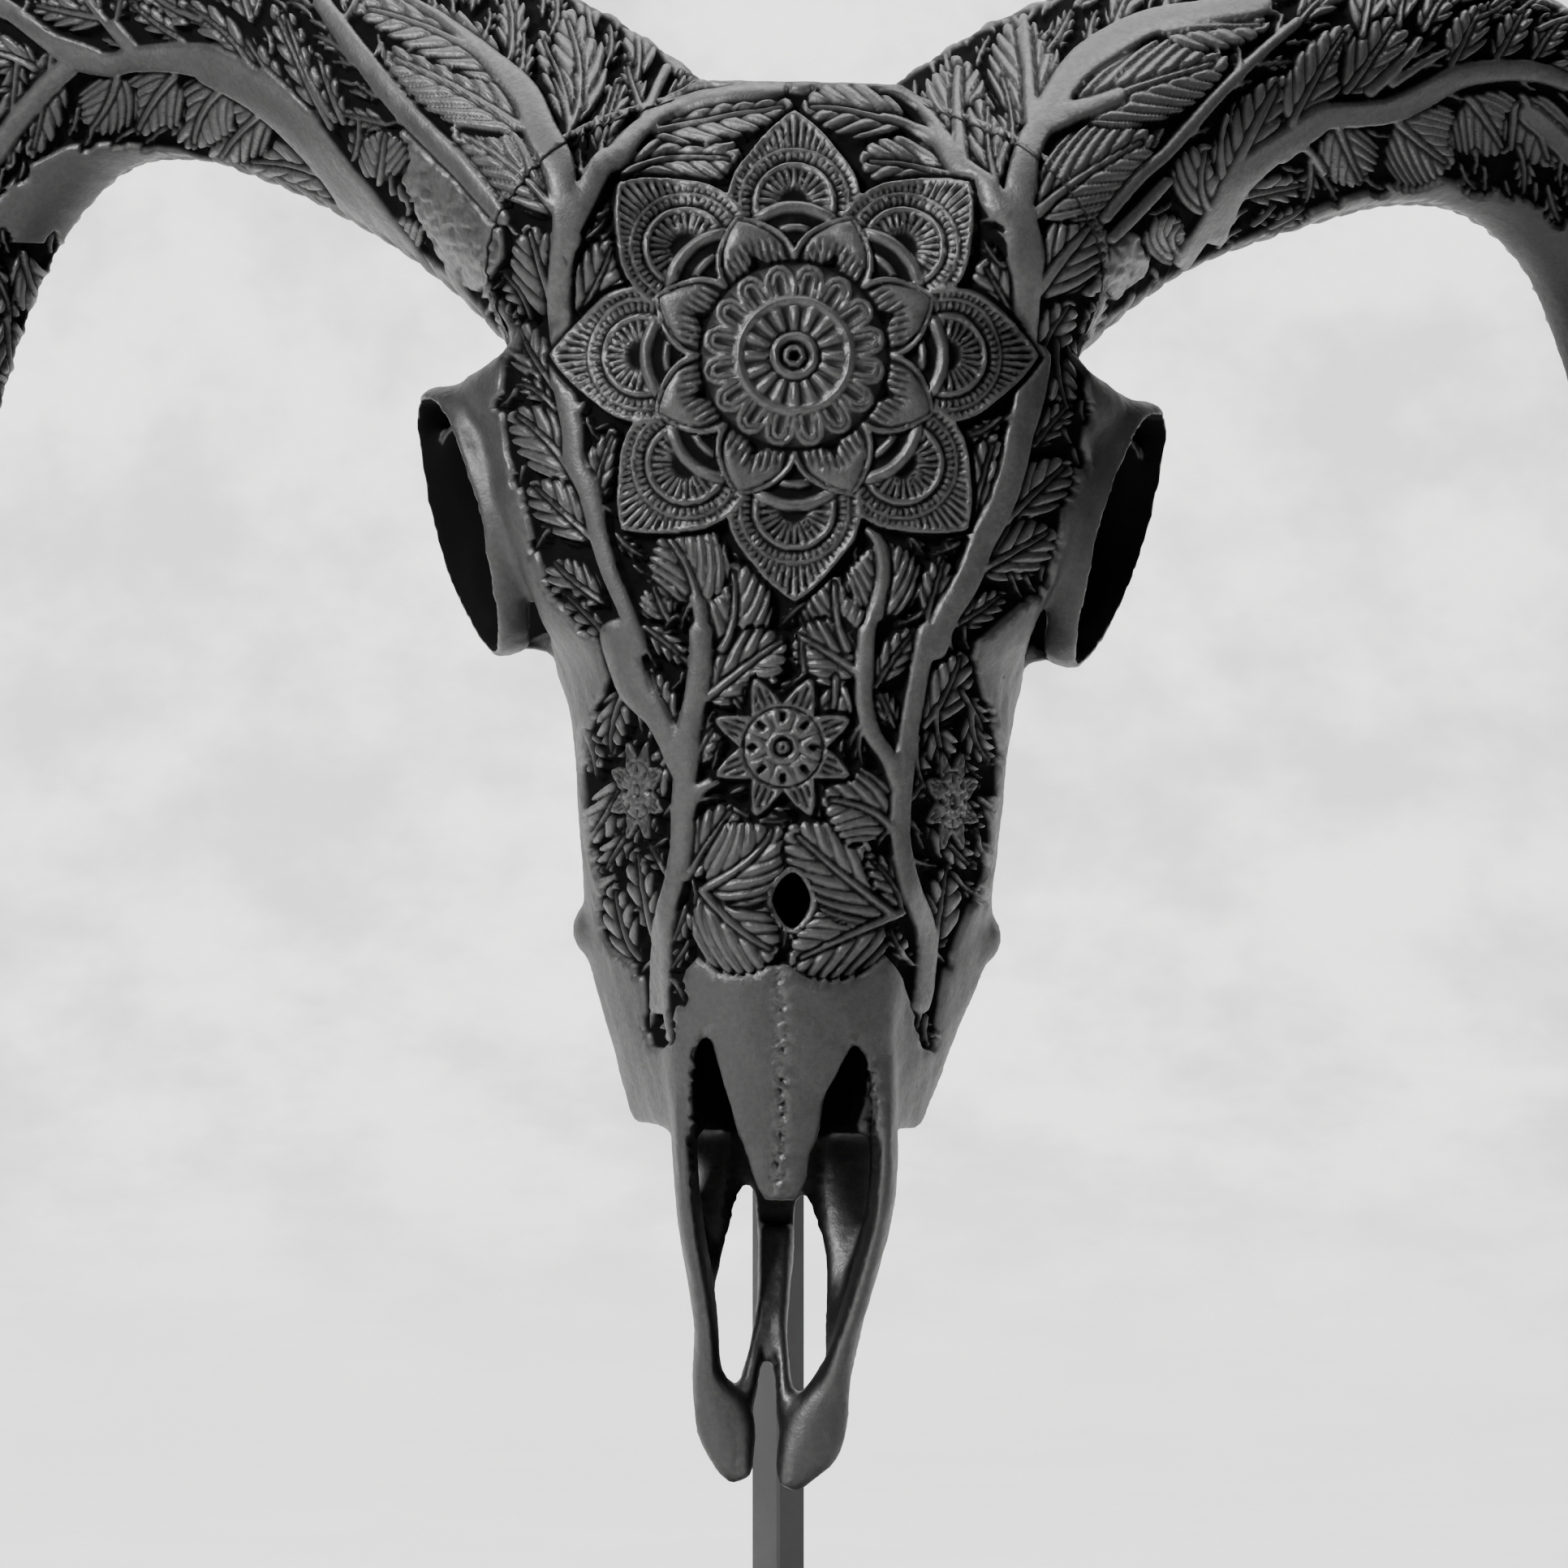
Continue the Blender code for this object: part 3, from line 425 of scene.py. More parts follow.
def palate_rings():
    """The bony palate between the jaws, ahead of the tooth rows."""
    rings = []
    for height, half in PALATE_PLATE:
        back = PALATE_START + PALATE_SLOPE * height
        front = back - PALATE_WALL
        corners = ((-half, front), (half, front), (half, back), (-half, back))
        rings.append([(*corner, height) for corner in corners])
    return rings


def orbit_rim_rings(side, steps=120, sides=20):
    """The rim of an eye socket: an oval section carried round a closed loop, deeper than it is thick."""
    loop = curve_through(np.array(mirrored(ORBIT_RIM, side)), steps, closed=True)
    outward = unit(loop - loop.mean(axis=0))
    along = unit(np.roll(loop, -1, axis=0) - np.roll(loop, 1, axis=0))
    deep = unit(np.cross(along, outward))
    outward = np.cross(deep, along)
    thin, thick = ORBIT_RIM_HALF
    turn = turns(sides)
    return loop[:, None] + np.cos(turn) * thin * outward[:, None] + np.sin(turn) * thick * deep[:, None]


def nasal_cavity_rings(steps=40, sides=40):
    """The airway behind the nasal shield, an egg-shaped section at each height."""
    turn = turns(sides)[:, 0]
    rings = []
    for height, half, front, back in curve_through(NASAL_CAVITY, steps):
        x = half * boxed(np.cos(turn), 0.8)
        y = (front + back) / 2 + (back - front) / 2 * np.sin(turn)
        rings.append(np.stack([x, y, np.full_like(x, height)], axis=1))
    return rings


def prism_rings(outline, span):
    smooth = curve_through(outline, 4 * len(outline), closed=True)
    return [[(x, y, z) for x, z in smooth] for y in span]


# %% [markdown]
# The horns come next, because the skull's bone flares to carry them and is hollowed to seat them. A horn is
# a rounded triangle carried along a curl. Its frame is carried along with no twist, so that its keel, the
# ridge along the front, stays where the photo shows it.

# %% Horn tables and rings
HORN_PATH = {
    -1: ((35.5, 27, 241), (56, 43, 258.5), (76.5, 60, 270.8), (94, 75, 278.6), (114, 93, 285),
         (134, 110, 285.5), (152.5, 123, 277.5), (168, 132, 259), (177, 134.5, 236), (182, 130, 211),
         (186, 116, 186), (191, 95, 167), (198, 70, 157), (208, 46, 160), (220, 27, 173), (232, 15, 192)),
    1: ((35.5, 27, 241), (56, 43, 258.5), (75, 59, 269), (94, 75, 275.5), (114, 93, 281), (134, 110, 281.5),
        (153, 123, 274), (169, 131.5, 257), (178, 134, 234), (183, 130, 209), (186, 116, 184),
        (191, 95, 165), (198, 70, 155), (208, 46, 158), (220, 27, 171), (232, 15, 190)),
}
HORN_BASE_RADIUS = 32.3
HORN_TIP_SHARE = 0.08
HORN_TAPER = 0.70
HORN_TRIANGLE = 0.10
HORN_KEEL_TURN = radians(-17)
HORN_KEEL_TWIST = radians(40)
CORE_SCALE = 0.72
CORE_REACH = 0.14
CORE_ROOT = 14.0
# The bone under a horn: how far from the horn's base, and its share of the base's size
HORN_PEDICLE = ((-34, 0.5), (-22, 0.74), (-10, 0.93), (-3, 0.99), (4, 0.99))
FRAME_STEPS = 80
MOUTH_PLUG = 0.006
CENTRE_LINE = 0.001  # a scale that draws a horn in to its middle


def horn_frames(side):
    """Centres, ways, fronts, ups, mean radii and shares of the length along a horn. Each front is the last
    one made square to the way again."""
    fine = curve_through(np.array(mirrored(HORN_PATH[side], side)), 400)
    length = np.concatenate([[0], np.cumsum(np.linalg.norm(np.diff(fine, axis=0), axis=1))])
    share = np.linspace(0, 1, FRAME_STEPS)
    centres = np.stack([np.interp(share * length[-1], length, fine[:, k]) for k in range(3)], axis=1)
    along = unit(np.gradient(centres, axis=0))
    front = np.array([0.0, -1, 0])
    fronts = []
    for way in along:
        front = unit(front - (front @ way) * way)
        fronts.append(front)
    fronts = np.array(fronts)
    ups = np.cross(along, fronts) * -side
    radii = HORN_BASE_RADIUS * (HORN_TIP_SHARE + (1 - HORN_TIP_SHARE) * (1 - share) ** HORN_TAPER)
    return {"centre": centres, "along": along, "front": fronts, "up": ups, "radius": radii, "share": share,
            "length": length[-1]}


HORN = {side: horn_frames(side) for side in SIDES}


def horn_points(side, share, angle, scale=1.0, grow=0.0):
    """centre + radius (cos(angle) front + sin(angle) up), where the radius is the mean one times
    1 + HORN_TRIANGLE cos 3 (angle - keel), for arrays of shares of the length and of angles."""
    rows = HORN[side]
    centre, front, up = (
        np.stack([np.interp(share, rows["share"], rows[key][:, k]) for k in range(3)], axis=-1)
        for key in ("centre", "front", "up")
    )
    keel = HORN_KEEL_TURN + HORN_KEEL_TWIST * share
    mean = np.interp(share, rows["share"], rows["radius"]) * scale
    radius = (mean * (1 + HORN_TRIANGLE * np.cos(3 * (angle - keel))) + grow)[..., None]
    return centre + radius * (np.cos(angle)[..., None] * front + np.sin(angle)[..., None] * up)


def horn_rings(side, steps, sides=96, scale=1.0, grow=0.0, reach=1.0, root=0.0, start=0.0):
    """Rings between two shares of a horn's length, and one more set back from the first if root is given."""
    share, angle = np.meshgrid(np.linspace(start, reach, steps), turns(sides)[:, 0], indexing="ij")
    rings = horn_points(side, share, angle, scale, grow)
    if root:
        rings = np.concatenate([(rings[0] - HORN[side]["along"][0] * root)[None], rings])
    return rings


def pedicle_rings(side):
    """Rings from inside the forehead out to the horn's base, each the base ring drawn in to a share."""
    base = horn_rings(side, 2)[0]
    centre, along = HORN[side]["centre"][0], HORN[side]["along"][0]
    rings = [centre + along * step + (base - centre) * share for step, share in HORN_PEDICLE]
    return curve_through(rings, 24)


print("horn lengths, mm:", {side: round(float(HORN[side]["length"])) for side in HORN})

# %% [markdown]
# Teeth sit in sockets, so their rings are needed too. A cheek tooth is a rounded box that narrows to its
# root. The rows start far back in the jaw, as a sheep's do.

# %% Tooth tables and rings
TOOTH_ROOTS = ((25.0, 51.5, 77.5), (26.8, 56.2, 88), (28.4, 61.0, 99), (29.6, 66.3, 112), (30.2, 71.6, 126),
               (29.6, 76.6, 140))
TOOTH_LENGTHS = (8.5, 9.5, 10.5, 13.0, 14.0, 14.0)
TOOTH_WIDTHS = (6.5, 8.0, 9.0, 11.0, 11.5, 10.5)
TOOTH_CROWN = 11.0
TOOTH_ROOT_DEPTH = 7.0
CROWN_DIRECTION = np.array([0, 0.914, -0.407])
TOOTH_ROW_DIRECTION = np.array([0.06, 0.407, 0.914])
TOOTH_SQUARENESS = 0.6
TOOTH_LEVELS = ((-TOOTH_ROOT_DEPTH, 0.72), (0, 0.96), (TOOTH_CROWN * 0.6, 1.0), (TOOTH_CROWN, 0.86))


def tooth_axes(side):
    row = unit(TOOTH_ROW_DIRECTION * (side, 1, 1))
    crown = unit(CROWN_DIRECTION - (CROWN_DIRECTION @ row) * row)
    return row, crown, np.cross(row, crown)


def tooth_rings(number, side, grow=0.0, sides=40):
    """Superellipse sections, |cos|^0.6 long and |sin|^0.6 wide, from the root to the worn crown."""
    root = np.array(on_cheek([TOOTH_ROOTS[number]], side)[0])
    row, crown, across = tooth_axes(side)
    half_long = TOOTH_LENGTHS[number] / 2 - GAP / 2
    half_wide = TOOTH_WIDTHS[number] / 2
    turn = turns(sides)
    long, wide = boxed(np.cos(turn), TOOTH_SQUARENESS), boxed(np.sin(turn), TOOTH_SQUARENESS)
    rings = []
    for level, share in TOOTH_LEVELS:
        depth = level - grow if level < 0 else level
        rings.append(root + crown * depth + row * long * (half_long * share + grow)
                     + across * wide * (half_wide * share + grow))
    return rings


# %% [markdown]
# A sculptor would stick the masses together and rub out the joins. Here a voxel remesh does that: it keeps
# the outside of everything that overlaps. The hollows are cut next, and a second, finer remesh rounds all
# the cut edges, as weather and handling round real bone.

# %% Join and hollow the bone
FIRST_VOXEL = 1.2
BONE_VOXEL = 0.75 if FINE else 1.3


def bone_masses():
    """The skins of every mass of the skull. The crest runs from side to side, so its rings start behind."""
    crest = [(*point, *NUCHAL_CREST_HALF) for point in NUCHAL_CREST]
    skins = [skin(face_rings()), skin(nasal_rings()), skin(palate_rings()), skin(bar_rings(SKULL_BASE)),
             skin(bar_rings(crest, sides=16, across=(0, 1.0, 0), hand=-1)),
             skin(ellipsoid_rings(*BRAINCASE))]
    for side in SIDES:
        for path in (PREMAXILLA[side], PALATAL_SHELF[side], PALATINE_BLADES[side], PTERYGOID, ZYGOMATIC_ARCH,
                     JUGULAR_PROCESS, POSTORBITAL_PLATE):
            skins.append(skin(bar_rings(mirrored(path, side))))
        skins.append(skin(bar_rings(on_cheek(ALVEOLAR_RIDGE, side))))
        skins.append(skin(orbit_rim_rings(side), capped=False))
        skins.append(skin(pedicle_rings(side)))
        for centre, halves in KNOBS.values():
            skins.append(skin(ellipsoid_rings(on_cheek([centre], side)[0], halves)))
    return joined(skins)


def hollow_skins():
    centre, axis, radius, half_length = FORAMEN_MAGNUM
    hollows = [skin(nasal_cavity_rings()), skin(prism_rings(PIERCED_DIAMOND, PIERCED_DIAMOND_Y)),
               skin(ellipsoid_rings(*CHOANA)), skin(ellipsoid_rings(*BRAIN_HOLLOW)),
               skin(ellipsoid_rings(centre, (half_length, radius, radius), axis))]
    for side in SIDES:
        hollows.append(skin(prism_rings(mirrored(NASAL_NOTCH[side], side), NASAL_NOTCH_Y)))
        place = (side * ORBIT_CENTRE[0], *ORBIT_CENTRE[1:])
        hollows.append(skin(ellipsoid_rings(place, ORBIT_HALF, (side * ORBIT_AXIS[0], *ORBIT_AXIS[1:]))))
        hollows.append(skin(horn_rings(side, 14, grow=2.0, reach=0.35, start=MOUTH_PLUG)))
    return hollows


skull = mesh_object("ram_skull", *bone_masses())
modified(skull, "REMESH", mode="VOXEL", voxel_size=FIRST_VOXEL)
modified(skull, "SMOOTH", iterations=3, factor=0.5)
print("solid bone:", len(skull.data.polygons), "faces")

for hollow in hollow_skins():
    cut(skull, *hollow)
for side in SIDES:
    core = skin(horn_rings(side, 8, scale=CORE_SCALE, grow=-GAP - 0.1, reach=CORE_REACH, root=CORE_ROOT))
    cut(skull, *core, operation="UNION")
    for number in range(len(TOOTH_ROOTS)):
        cut(skull, *skin(tooth_rings(number, side, grow=GAP)))
print("hollowed bone:", len(skull.data.polygons), "faces")
modified(skull, "REMESH", mode="VOXEL", voxel_size=BONE_VOXEL)
modified(skull, "SMOOTH", iterations=2, factor=0.5)
print("bone ready to carve:", len(skull.data.polygons), "faces")

# %% [markdown]
# The carver worked on the outside of the bone and never in its hollows. To tell them apart, the plain face
# is measured once: its radius about an upright axis, at each height and each angle round from the front.
# Above the brow it closes like a cap, so there the distance to the axis is taken over a ball.

# %% How far a point lies outside the plain face
FACE_AXIS_Y = 45.0
BROW = 216.0
FACE_ANGLES = np.radians(np.arange(-170, 171, 2.0))


def face_radii():
    """For each face ring: its height, and its radius about the axis at each of the face angles."""
    heights, radii = [], []
    for ring in face_rings():
        angle = np.arctan2(ring[:, 0], FACE_AXIS_Y - ring[:, 1])
        order = np.argsort(angle)
        radius = np.hypot(ring[:, 0], FACE_AXIS_Y - ring[:, 1])
        radii.append(np.interp(FACE_ANGLES, angle[order], radius[order], period=2 * pi))
        heights.append(ring[:, 2].mean())
    return np.array(heights), np.array(radii)


FACE_HEIGHTS, FACE_RADII = face_radii()


def between(table, row, col):
    """A table read between its entries, at fractional rows and columns: the mean of the four round each."""
    row = np.clip(row, 0, table.shape[0] - 1.001)
    col = np.clip(col, 0, table.shape[1] - 1.001)
    r, c = row.astype(int), col.astype(int)
    down, right = row - r, col - c
    top = table[r, c] * (1 - right) + table[r, c + 1] * right
    bottom = table[r + 1, c] * (1 - right) + table[r + 1, c + 1] * right
    return top * (1 - down) + bottom * down


def outside_face(points):
    """A point's distance from the axis less the plain face's radius there: negative inside the face."""
    x, behind, z = points[:, 0], FACE_AXIS_Y - points[:, 1], points[:, 2]
    level = np.minimum(z, BROW)
    radius = np.hypot(x, behind)
    row = np.interp(level, FACE_HEIGHTS, np.arange(len(FACE_HEIGHTS)))
    col = (np.arctan2(x, behind) - FACE_ANGLES[0]) / (FACE_ANGLES[1] - FACE_ANGLES[0])
    return np.hypot(radius, z - level) - between(FACE_RADII, row, col)


print("plain face, mm from its axis:", FACE_RADII.min().round(1), "to", FACE_RADII.max().round(1))

# %% [markdown]
# The carver's tool marks are all of a few kinds: a ground cut away between the shapes, leaf blades with
# veins, round-shouldered stems, and ringed flowers. A sheet holds one height for each fifth of a
# millimetre, 0 where the bone isn't cut. Shapes are pressed into it one after another, and each first cuts
# a narrow ditch round itself, so that it stands clear of what lies under it.

# %% A sheet to carve on
GROUND = -2.9
DITCH = -2.0
DITCH_WIDTH = 0.6


def beside(line, cells):
    """For each cell: the share of the line at its nearest point, the distance to the line's left and the
    distance past its ends. Also the line's length."""
    run = np.concatenate([[0], np.cumsum(np.linalg.norm(np.diff(line, axis=0), axis=1))])
    way = unit(np.gradient(line, axis=0))
    nearest = ((cells[..., None, :] - line) ** 2).sum(-1).argmin(-1)
    offset = cells - line[nearest]
    ahead = (offset * way[nearest]).sum(-1)
    left = offset[..., 1] * way[nearest][..., 0] - offset[..., 0] * way[nearest][..., 1]
    place = run[nearest] + ahead
    past = np.maximum(np.maximum(-place, place - run[-1]), 0)
    return np.clip(place / run[-1], 0, 1), left, past, run[-1]


def inside_polygon(polygon, cells):
    """Distance to a polygon's edge, positive inside: a cell is inside if a ray from it crosses the edge an
    odd number of times."""
    start = np.asarray(polygon, float)
    edge = np.roll(start, -1, axis=0) - start
    crossings = np.zeros(cells.shape[:2], int)
    nearest = np.full(cells.shape[:2], np.inf)
    for corner, way in zip(start, edge):
        gap = cells - corner
        share = np.clip((gap @ way) / (way @ way), 0, 1)
        nearest = np.minimum(nearest, np.hypot(*np.moveaxis(gap - share[..., None] * way, -1, 0)))
        spans = (gap[..., 1] >= 0) != (gap[..., 1] >= way[1])
        crossings += spans & (gap[..., 0] < way[0] * gap[..., 1] / (way[1] or 1))
    return np.where(crossings % 2, nearest, -nearest)


class Sheet:
    """Heights of the carving in mm over a flat grid."""

    def __init__(self, low, high, pitch):
        self.low, self.pitch = np.array(low, float), pitch
        self.count = ((np.array(high) - self.low) / pitch).astype(int) + 1
        self.height = np.zeros(self.count)
        self.drawn = np.zeros(self.count, bool)
        self.field = np.zeros(self.count, bool)
        self.line_gap = np.full(self.count, np.inf)
        self.stems = []

    def window(self, points, margin):
        """The part of the grid round some points, and the places of its cells."""
        points = np.reshape(points, (-1, 2))
        first = ((points.min(axis=0) - margin - self.low) / self.pitch).astype(int)
        last = ((points.max(axis=0) + margin - self.low) / self.pitch).astype(int) + 2
        first, last = np.clip(first, 0, self.count - 1), np.clip(last, 1, self.count)
        part = tuple(slice(a, b) for a, b in zip(first, last))
        axes = [low + self.pitch * np.arange(a, b) for low, a, b in zip(self.low, first, last)]
        return part, np.stack(np.meshgrid(*axes, indexing="ij"), axis=-1)

    def press(self, part, outside, top, ditch=DITCH, ditch_width=DITCH_WIDTH):
        """Cut a ditch round a shape, then set its top. outside is the distance from the shape's edge."""
        here = self.height[part]
        around = (outside > 0) & (outside < ditch_width)
        here[around] = np.minimum(here[around], ditch)
        here[outside <= 0] = top[outside <= 0]
        self.drawn[part] |= outside < ditch_width

    def sink_ground(self, polygon, depth=GROUND, wall=0.7):
        """Cut the ground away inside a polygon, with a steep wall along its edge. The distances are worked
        out on a grid four times coarser and read between its cells."""
        part, cells = self.window(polygon, 2.0)
        coarse = inside_polygon(polygon, cells[::4, ::4])
        row, col = np.meshgrid(*(np.arange(n) / 4 for n in cells.shape[:2]), indexing="ij")
        inside = between(coarse, row, col)
        self.height[part] = np.minimum(self.height[part], depth * smooth_step(0.0, wall, inside))
        self.field[part] |= inside > 0

    def leaf(self, base, middle, tip, width, fullest=0.5):
        """A blade along a bent midrib. Its half width is share^a (1 - share)^b, largest at the fullest share,
        and is pinched at each vein. Veins leave the midrib forwards, and the lobes between them are round
        like fingers. The halves slope from the rib by different amounts, so they catch the light apart."""
        base, middle, tip = (np.asarray(p, float) for p in (base, middle, tip))
        t = np.linspace(0, 1, 32)[:, None]
        bend = 2 * middle - (base + tip) / 2
        line = base * (1 - t) ** 2 + 2 * bend * t * (1 - t) + tip * t**2
        part, cells = self.window(line, width / 2 + 1.5)
        if 0 in cells.shape:
            return None
        share, left, past, length = beside(line, cells)
        a, b = 1.3 * fullest, 1.3 * (1 - fullest)
        half = width / 2 * share**a * (1 - share) ** b / (fullest**a * (1 - fullest) ** b)
        lean = np.sin(37.0 * (base[0] + tip[1]))
        pitch = np.clip(length / 4.0, 2.5, 4.6)
        vein = (share * length - 1.15 * np.abs(left) - 0.11 * left**2) / pitch + 0.4 * (left > 0) + lean
        phase = vein - np.floor(vein)
        to_vein = (0.5 - np.abs(phase - 0.5)) * pitch * 0.6
        edge = np.clip(np.abs(left) / np.maximum(half, 0.3), 0, 1)
        outside = np.abs(left) - half + 0.85 * np.exp(-((to_vein / 0.42) ** 2)) * (half > 1.0) + past
        dome = np.sqrt(np.clip(1 - (2 * phase - 1.0) ** 2, 0, 1))
        fold = np.where(left > 0, 0.30 + 0.30 * lean, 0.30 - 0.30 * lean)
        groove = (0.45 + 0.55 * edge) * np.exp(-((to_vein / 0.32) ** 2))
        top = -0.25 - fold * edge - 0.6 * (1 - dome) - groove
        top = top - 0.35 * smooth_step(-0.5, 0, outside)
        self.press(part, outside, top)
        return line

    def stroke(self, line, widths, keep=True):
        """Note the distance to a band along a line, for the stems that are pressed later. The band is a row
        of capsules: the distance to each short piece of the line less the half width there."""
        widths = np.interp(np.linspace(0, 1, len(line)), np.linspace(0, 1, len(widths)), widths)
        for start, end, wide, narrow in zip(line[:-1], line[1:], widths[:-1] / 2, widths[1:] / 2):
            part, cells = self.window([start, end], max(wide, narrow) + 1.2)
            if 0 in cells.shape:
                continue
            gap, way = cells - start, end - start
            share = np.clip(gap @ way / (way @ way + 1e-9), 0, 1)
            away = np.hypot(*np.moveaxis(gap - share[..., None] * way, -1, 0))
            self.line_gap[part] = np.minimum(self.line_gap[part], away - wide - (narrow - wide) * share)
        if keep:
            self.stems.append((line, widths))

    def is_taken(self, places):
        """The share of some places that lies on other work or off the carved field."""
        row, col = ((places.reshape(-1, 2) - self.low) / self.pitch).astype(int).T
        on = (row >= 0) & (col >= 0) & (row < self.count[0]) & (col < self.count[1])
        row, col = row[on], col[on]
        return 1 - (self.field[row, col] & ~self.drawn[row, col]).sum() / on.size

    def grow_leaves(self, seed, tries, lengths, plump, allowed):
        """Fill bare ground as foliage does. At a random bare place a leaf tries to grow away from the nearest
        stem and forwards along it, long at first, then shorter. It stays if most of it is on bare ground."""
        rng = np.random.default_rng(seed)
        knots = np.concatenate([line for line, _ in self.stems])
        ways = np.concatenate([unit(np.gradient(line, axis=0)) for line, _ in self.stems])
        bare = np.argwhere(self.field & ~self.drawn)
        along = np.array([0.12, 0.3, 0.5, 0.7, 0.88])[:, None, None]
        grown = []
        for place in bare[rng.integers(len(bare), size=tries)] * self.pitch + self.low:
            gap = place - knots
            nearest = (gap**2).sum(axis=1).argmin()
            ahead = unit(ways[nearest] * rng.uniform(0.5, 1.2) + unit(gap[nearest]) * rng.uniform(0.3, 0.9))
            across = np.array([-ahead[1], ahead[0]])
            bow = across * rng.uniform(-0.13, 0.13)
            for length in lengths * rng.uniform(0.85, 1.15):
                base, tip = place - ahead * length * 0.45, place + ahead * length * 0.55
                width = length * plump
                sides = np.array([-0.36, 0, 0.36])[None, :, None] * width * across
                if self.is_taken(base + (tip - base) * along + sides) <= allowed:
                    middle = (base + tip) / 2 + bow * length
                    self.leaf(base, middle, tip, width, 0.45)
                    grown.append((*base, *middle, *tip, width, 0.45))
                    break
        return grown

    def roughen(self, line, width, height, seed, sink=0.0):
        """Crumbly bone along a line: seeded lumps under a millimetre across, which fade out sideways."""
        line = curve_through(line, 12 * len(line))
        part, cells = self.window(line, width)
        lumps = blurred(np.random.default_rng(seed).normal(size=cells.shape[:2]), 5)
        _, left, past, _ = beside(line, cells)
        band = np.exp(-(((np.abs(left) + past) / (width / 2)) ** 2))
        self.height[part] += band * (height * np.clip(lumps / lumps.std(), -2, 2) - sink)

    def press_strokes(self):
        """All noted bands at once, so that they run into each other: flat on top, round at the shoulders."""
        whole = (slice(None), slice(None))
        gap = np.minimum(self.line_gap, 0)
        top = -0.05 - 0.8 * np.exp(gap / 0.28) - 0.35 * np.exp(gap / 1.4)
        self.press(whole, self.line_gap, top, ditch=-1.55, ditch_width=0.5)
        self.line_gap[:] = np.inf

    def read(self, places):
        """The heights at some places, read between the grid's cells, and 0 off the sheet."""
        row, col = ((places - self.low) / self.pitch).T
        on = (row > 0) & (col > 0) & (row < self.count[0] - 1) & (col < self.count[1] - 1)
        return np.where(on, between(self.height, row, col), 0)


def blurred(heights, steps):
    """Each cell mixed with its four neighbours, 1 2 1 along each axis, as a last rub with fine paper does."""
    for _ in range(steps):
        for axis in (0, 1):
            heights = (np.roll(heights, 1, axis) + 2 * heights + np.roll(heights, -1, axis)) / 4
    return heights


# %% [markdown]
# The flowers are drawn with a compass. Each is a formula in the distance from the centre and the angle
# round it, so one short list of rings gives the whole mandala, and the eye reads the same steady rhythm as
# on the real piece: a ringed hub, sixteen spokes, sixteen arches, eight lotus petals and eight ogee petals.

# %% Rings, spokes and petals
def ridge(value, low, high):
    """A rounded band: 1 along its middle, 0 at its two edges and beyond."""
    middle, half = (low + high) / 2, (high - low) / 2
    return np.sqrt(np.clip(1 - ((value - middle) / half) ** 2, 0, 1))


def around_centre(cells, centre, turn=0.0):
    """Distance from a centre and angle round it, counted from straight up."""
    across, up = np.moveaxis(cells - centre, -1, 0)
    return np.hypot(across, up), np.arctan2(across, up) - turn


def sector(angle, count, offset=0.0):
    """The angle from the middle of the nearest of a number of equal sectors."""
    place = angle / (2 * pi / count) - offset
    return (place - np.round(place)) * (2 * pi / count)


def raised(height, value, low, high, rise, floor=-1.6):
    """A rounded band pressed up out of what is there, from the floor to the rise above it."""
    return np.maximum(height, floor + rise * ridge(value, low, high))


def lay(height, mask, value):
    """Put a value where a mask holds."""
    return np.where(mask, value, height)


def petal_teeth(radius, angle, low, high, count, share=0.55):
    """Short radial bars between two radii, with pits between them."""
    place = angle / (2 * pi / count)
    bar = np.abs(place - np.round(place)) * 2 < share
    edge = smooth_step(0.0, 0.35, np.minimum(radius - low, high - radius))
    return np.where(bar, -0.35, -1.75) * edge - 1.3 * (1 - edge)


def ogee_outline(angle, wide=13.0, tip=18.0, spread=0.85):
    """A petal's reach at each angle from its axis: a circle drawn out to a point."""
    return wide + (tip - wide) * np.clip(1 - np.abs(angle) / spread, 0, 1) ** 1.8


def eight_round(cells, centre, distance):
    """Distance from and angle round each of eight points on a circle about the centre."""
    for turn in np.arange(8) * pi / 4:
        yield around_centre(cells, centre + distance * np.array([sin(turn), cos(turn)]), turn)


# The mandala's parts, in mm from its centre, and the arches' own reach
HUB_RADIUS, HUB_ARCHES = 18.4, 14.9
PETALS_AT, PETALS_FROM = 29.3, 17.5
ARCHES_AT, ARCHES_FROM, ARCH_REACH = 17.7, 17.0, 12.4


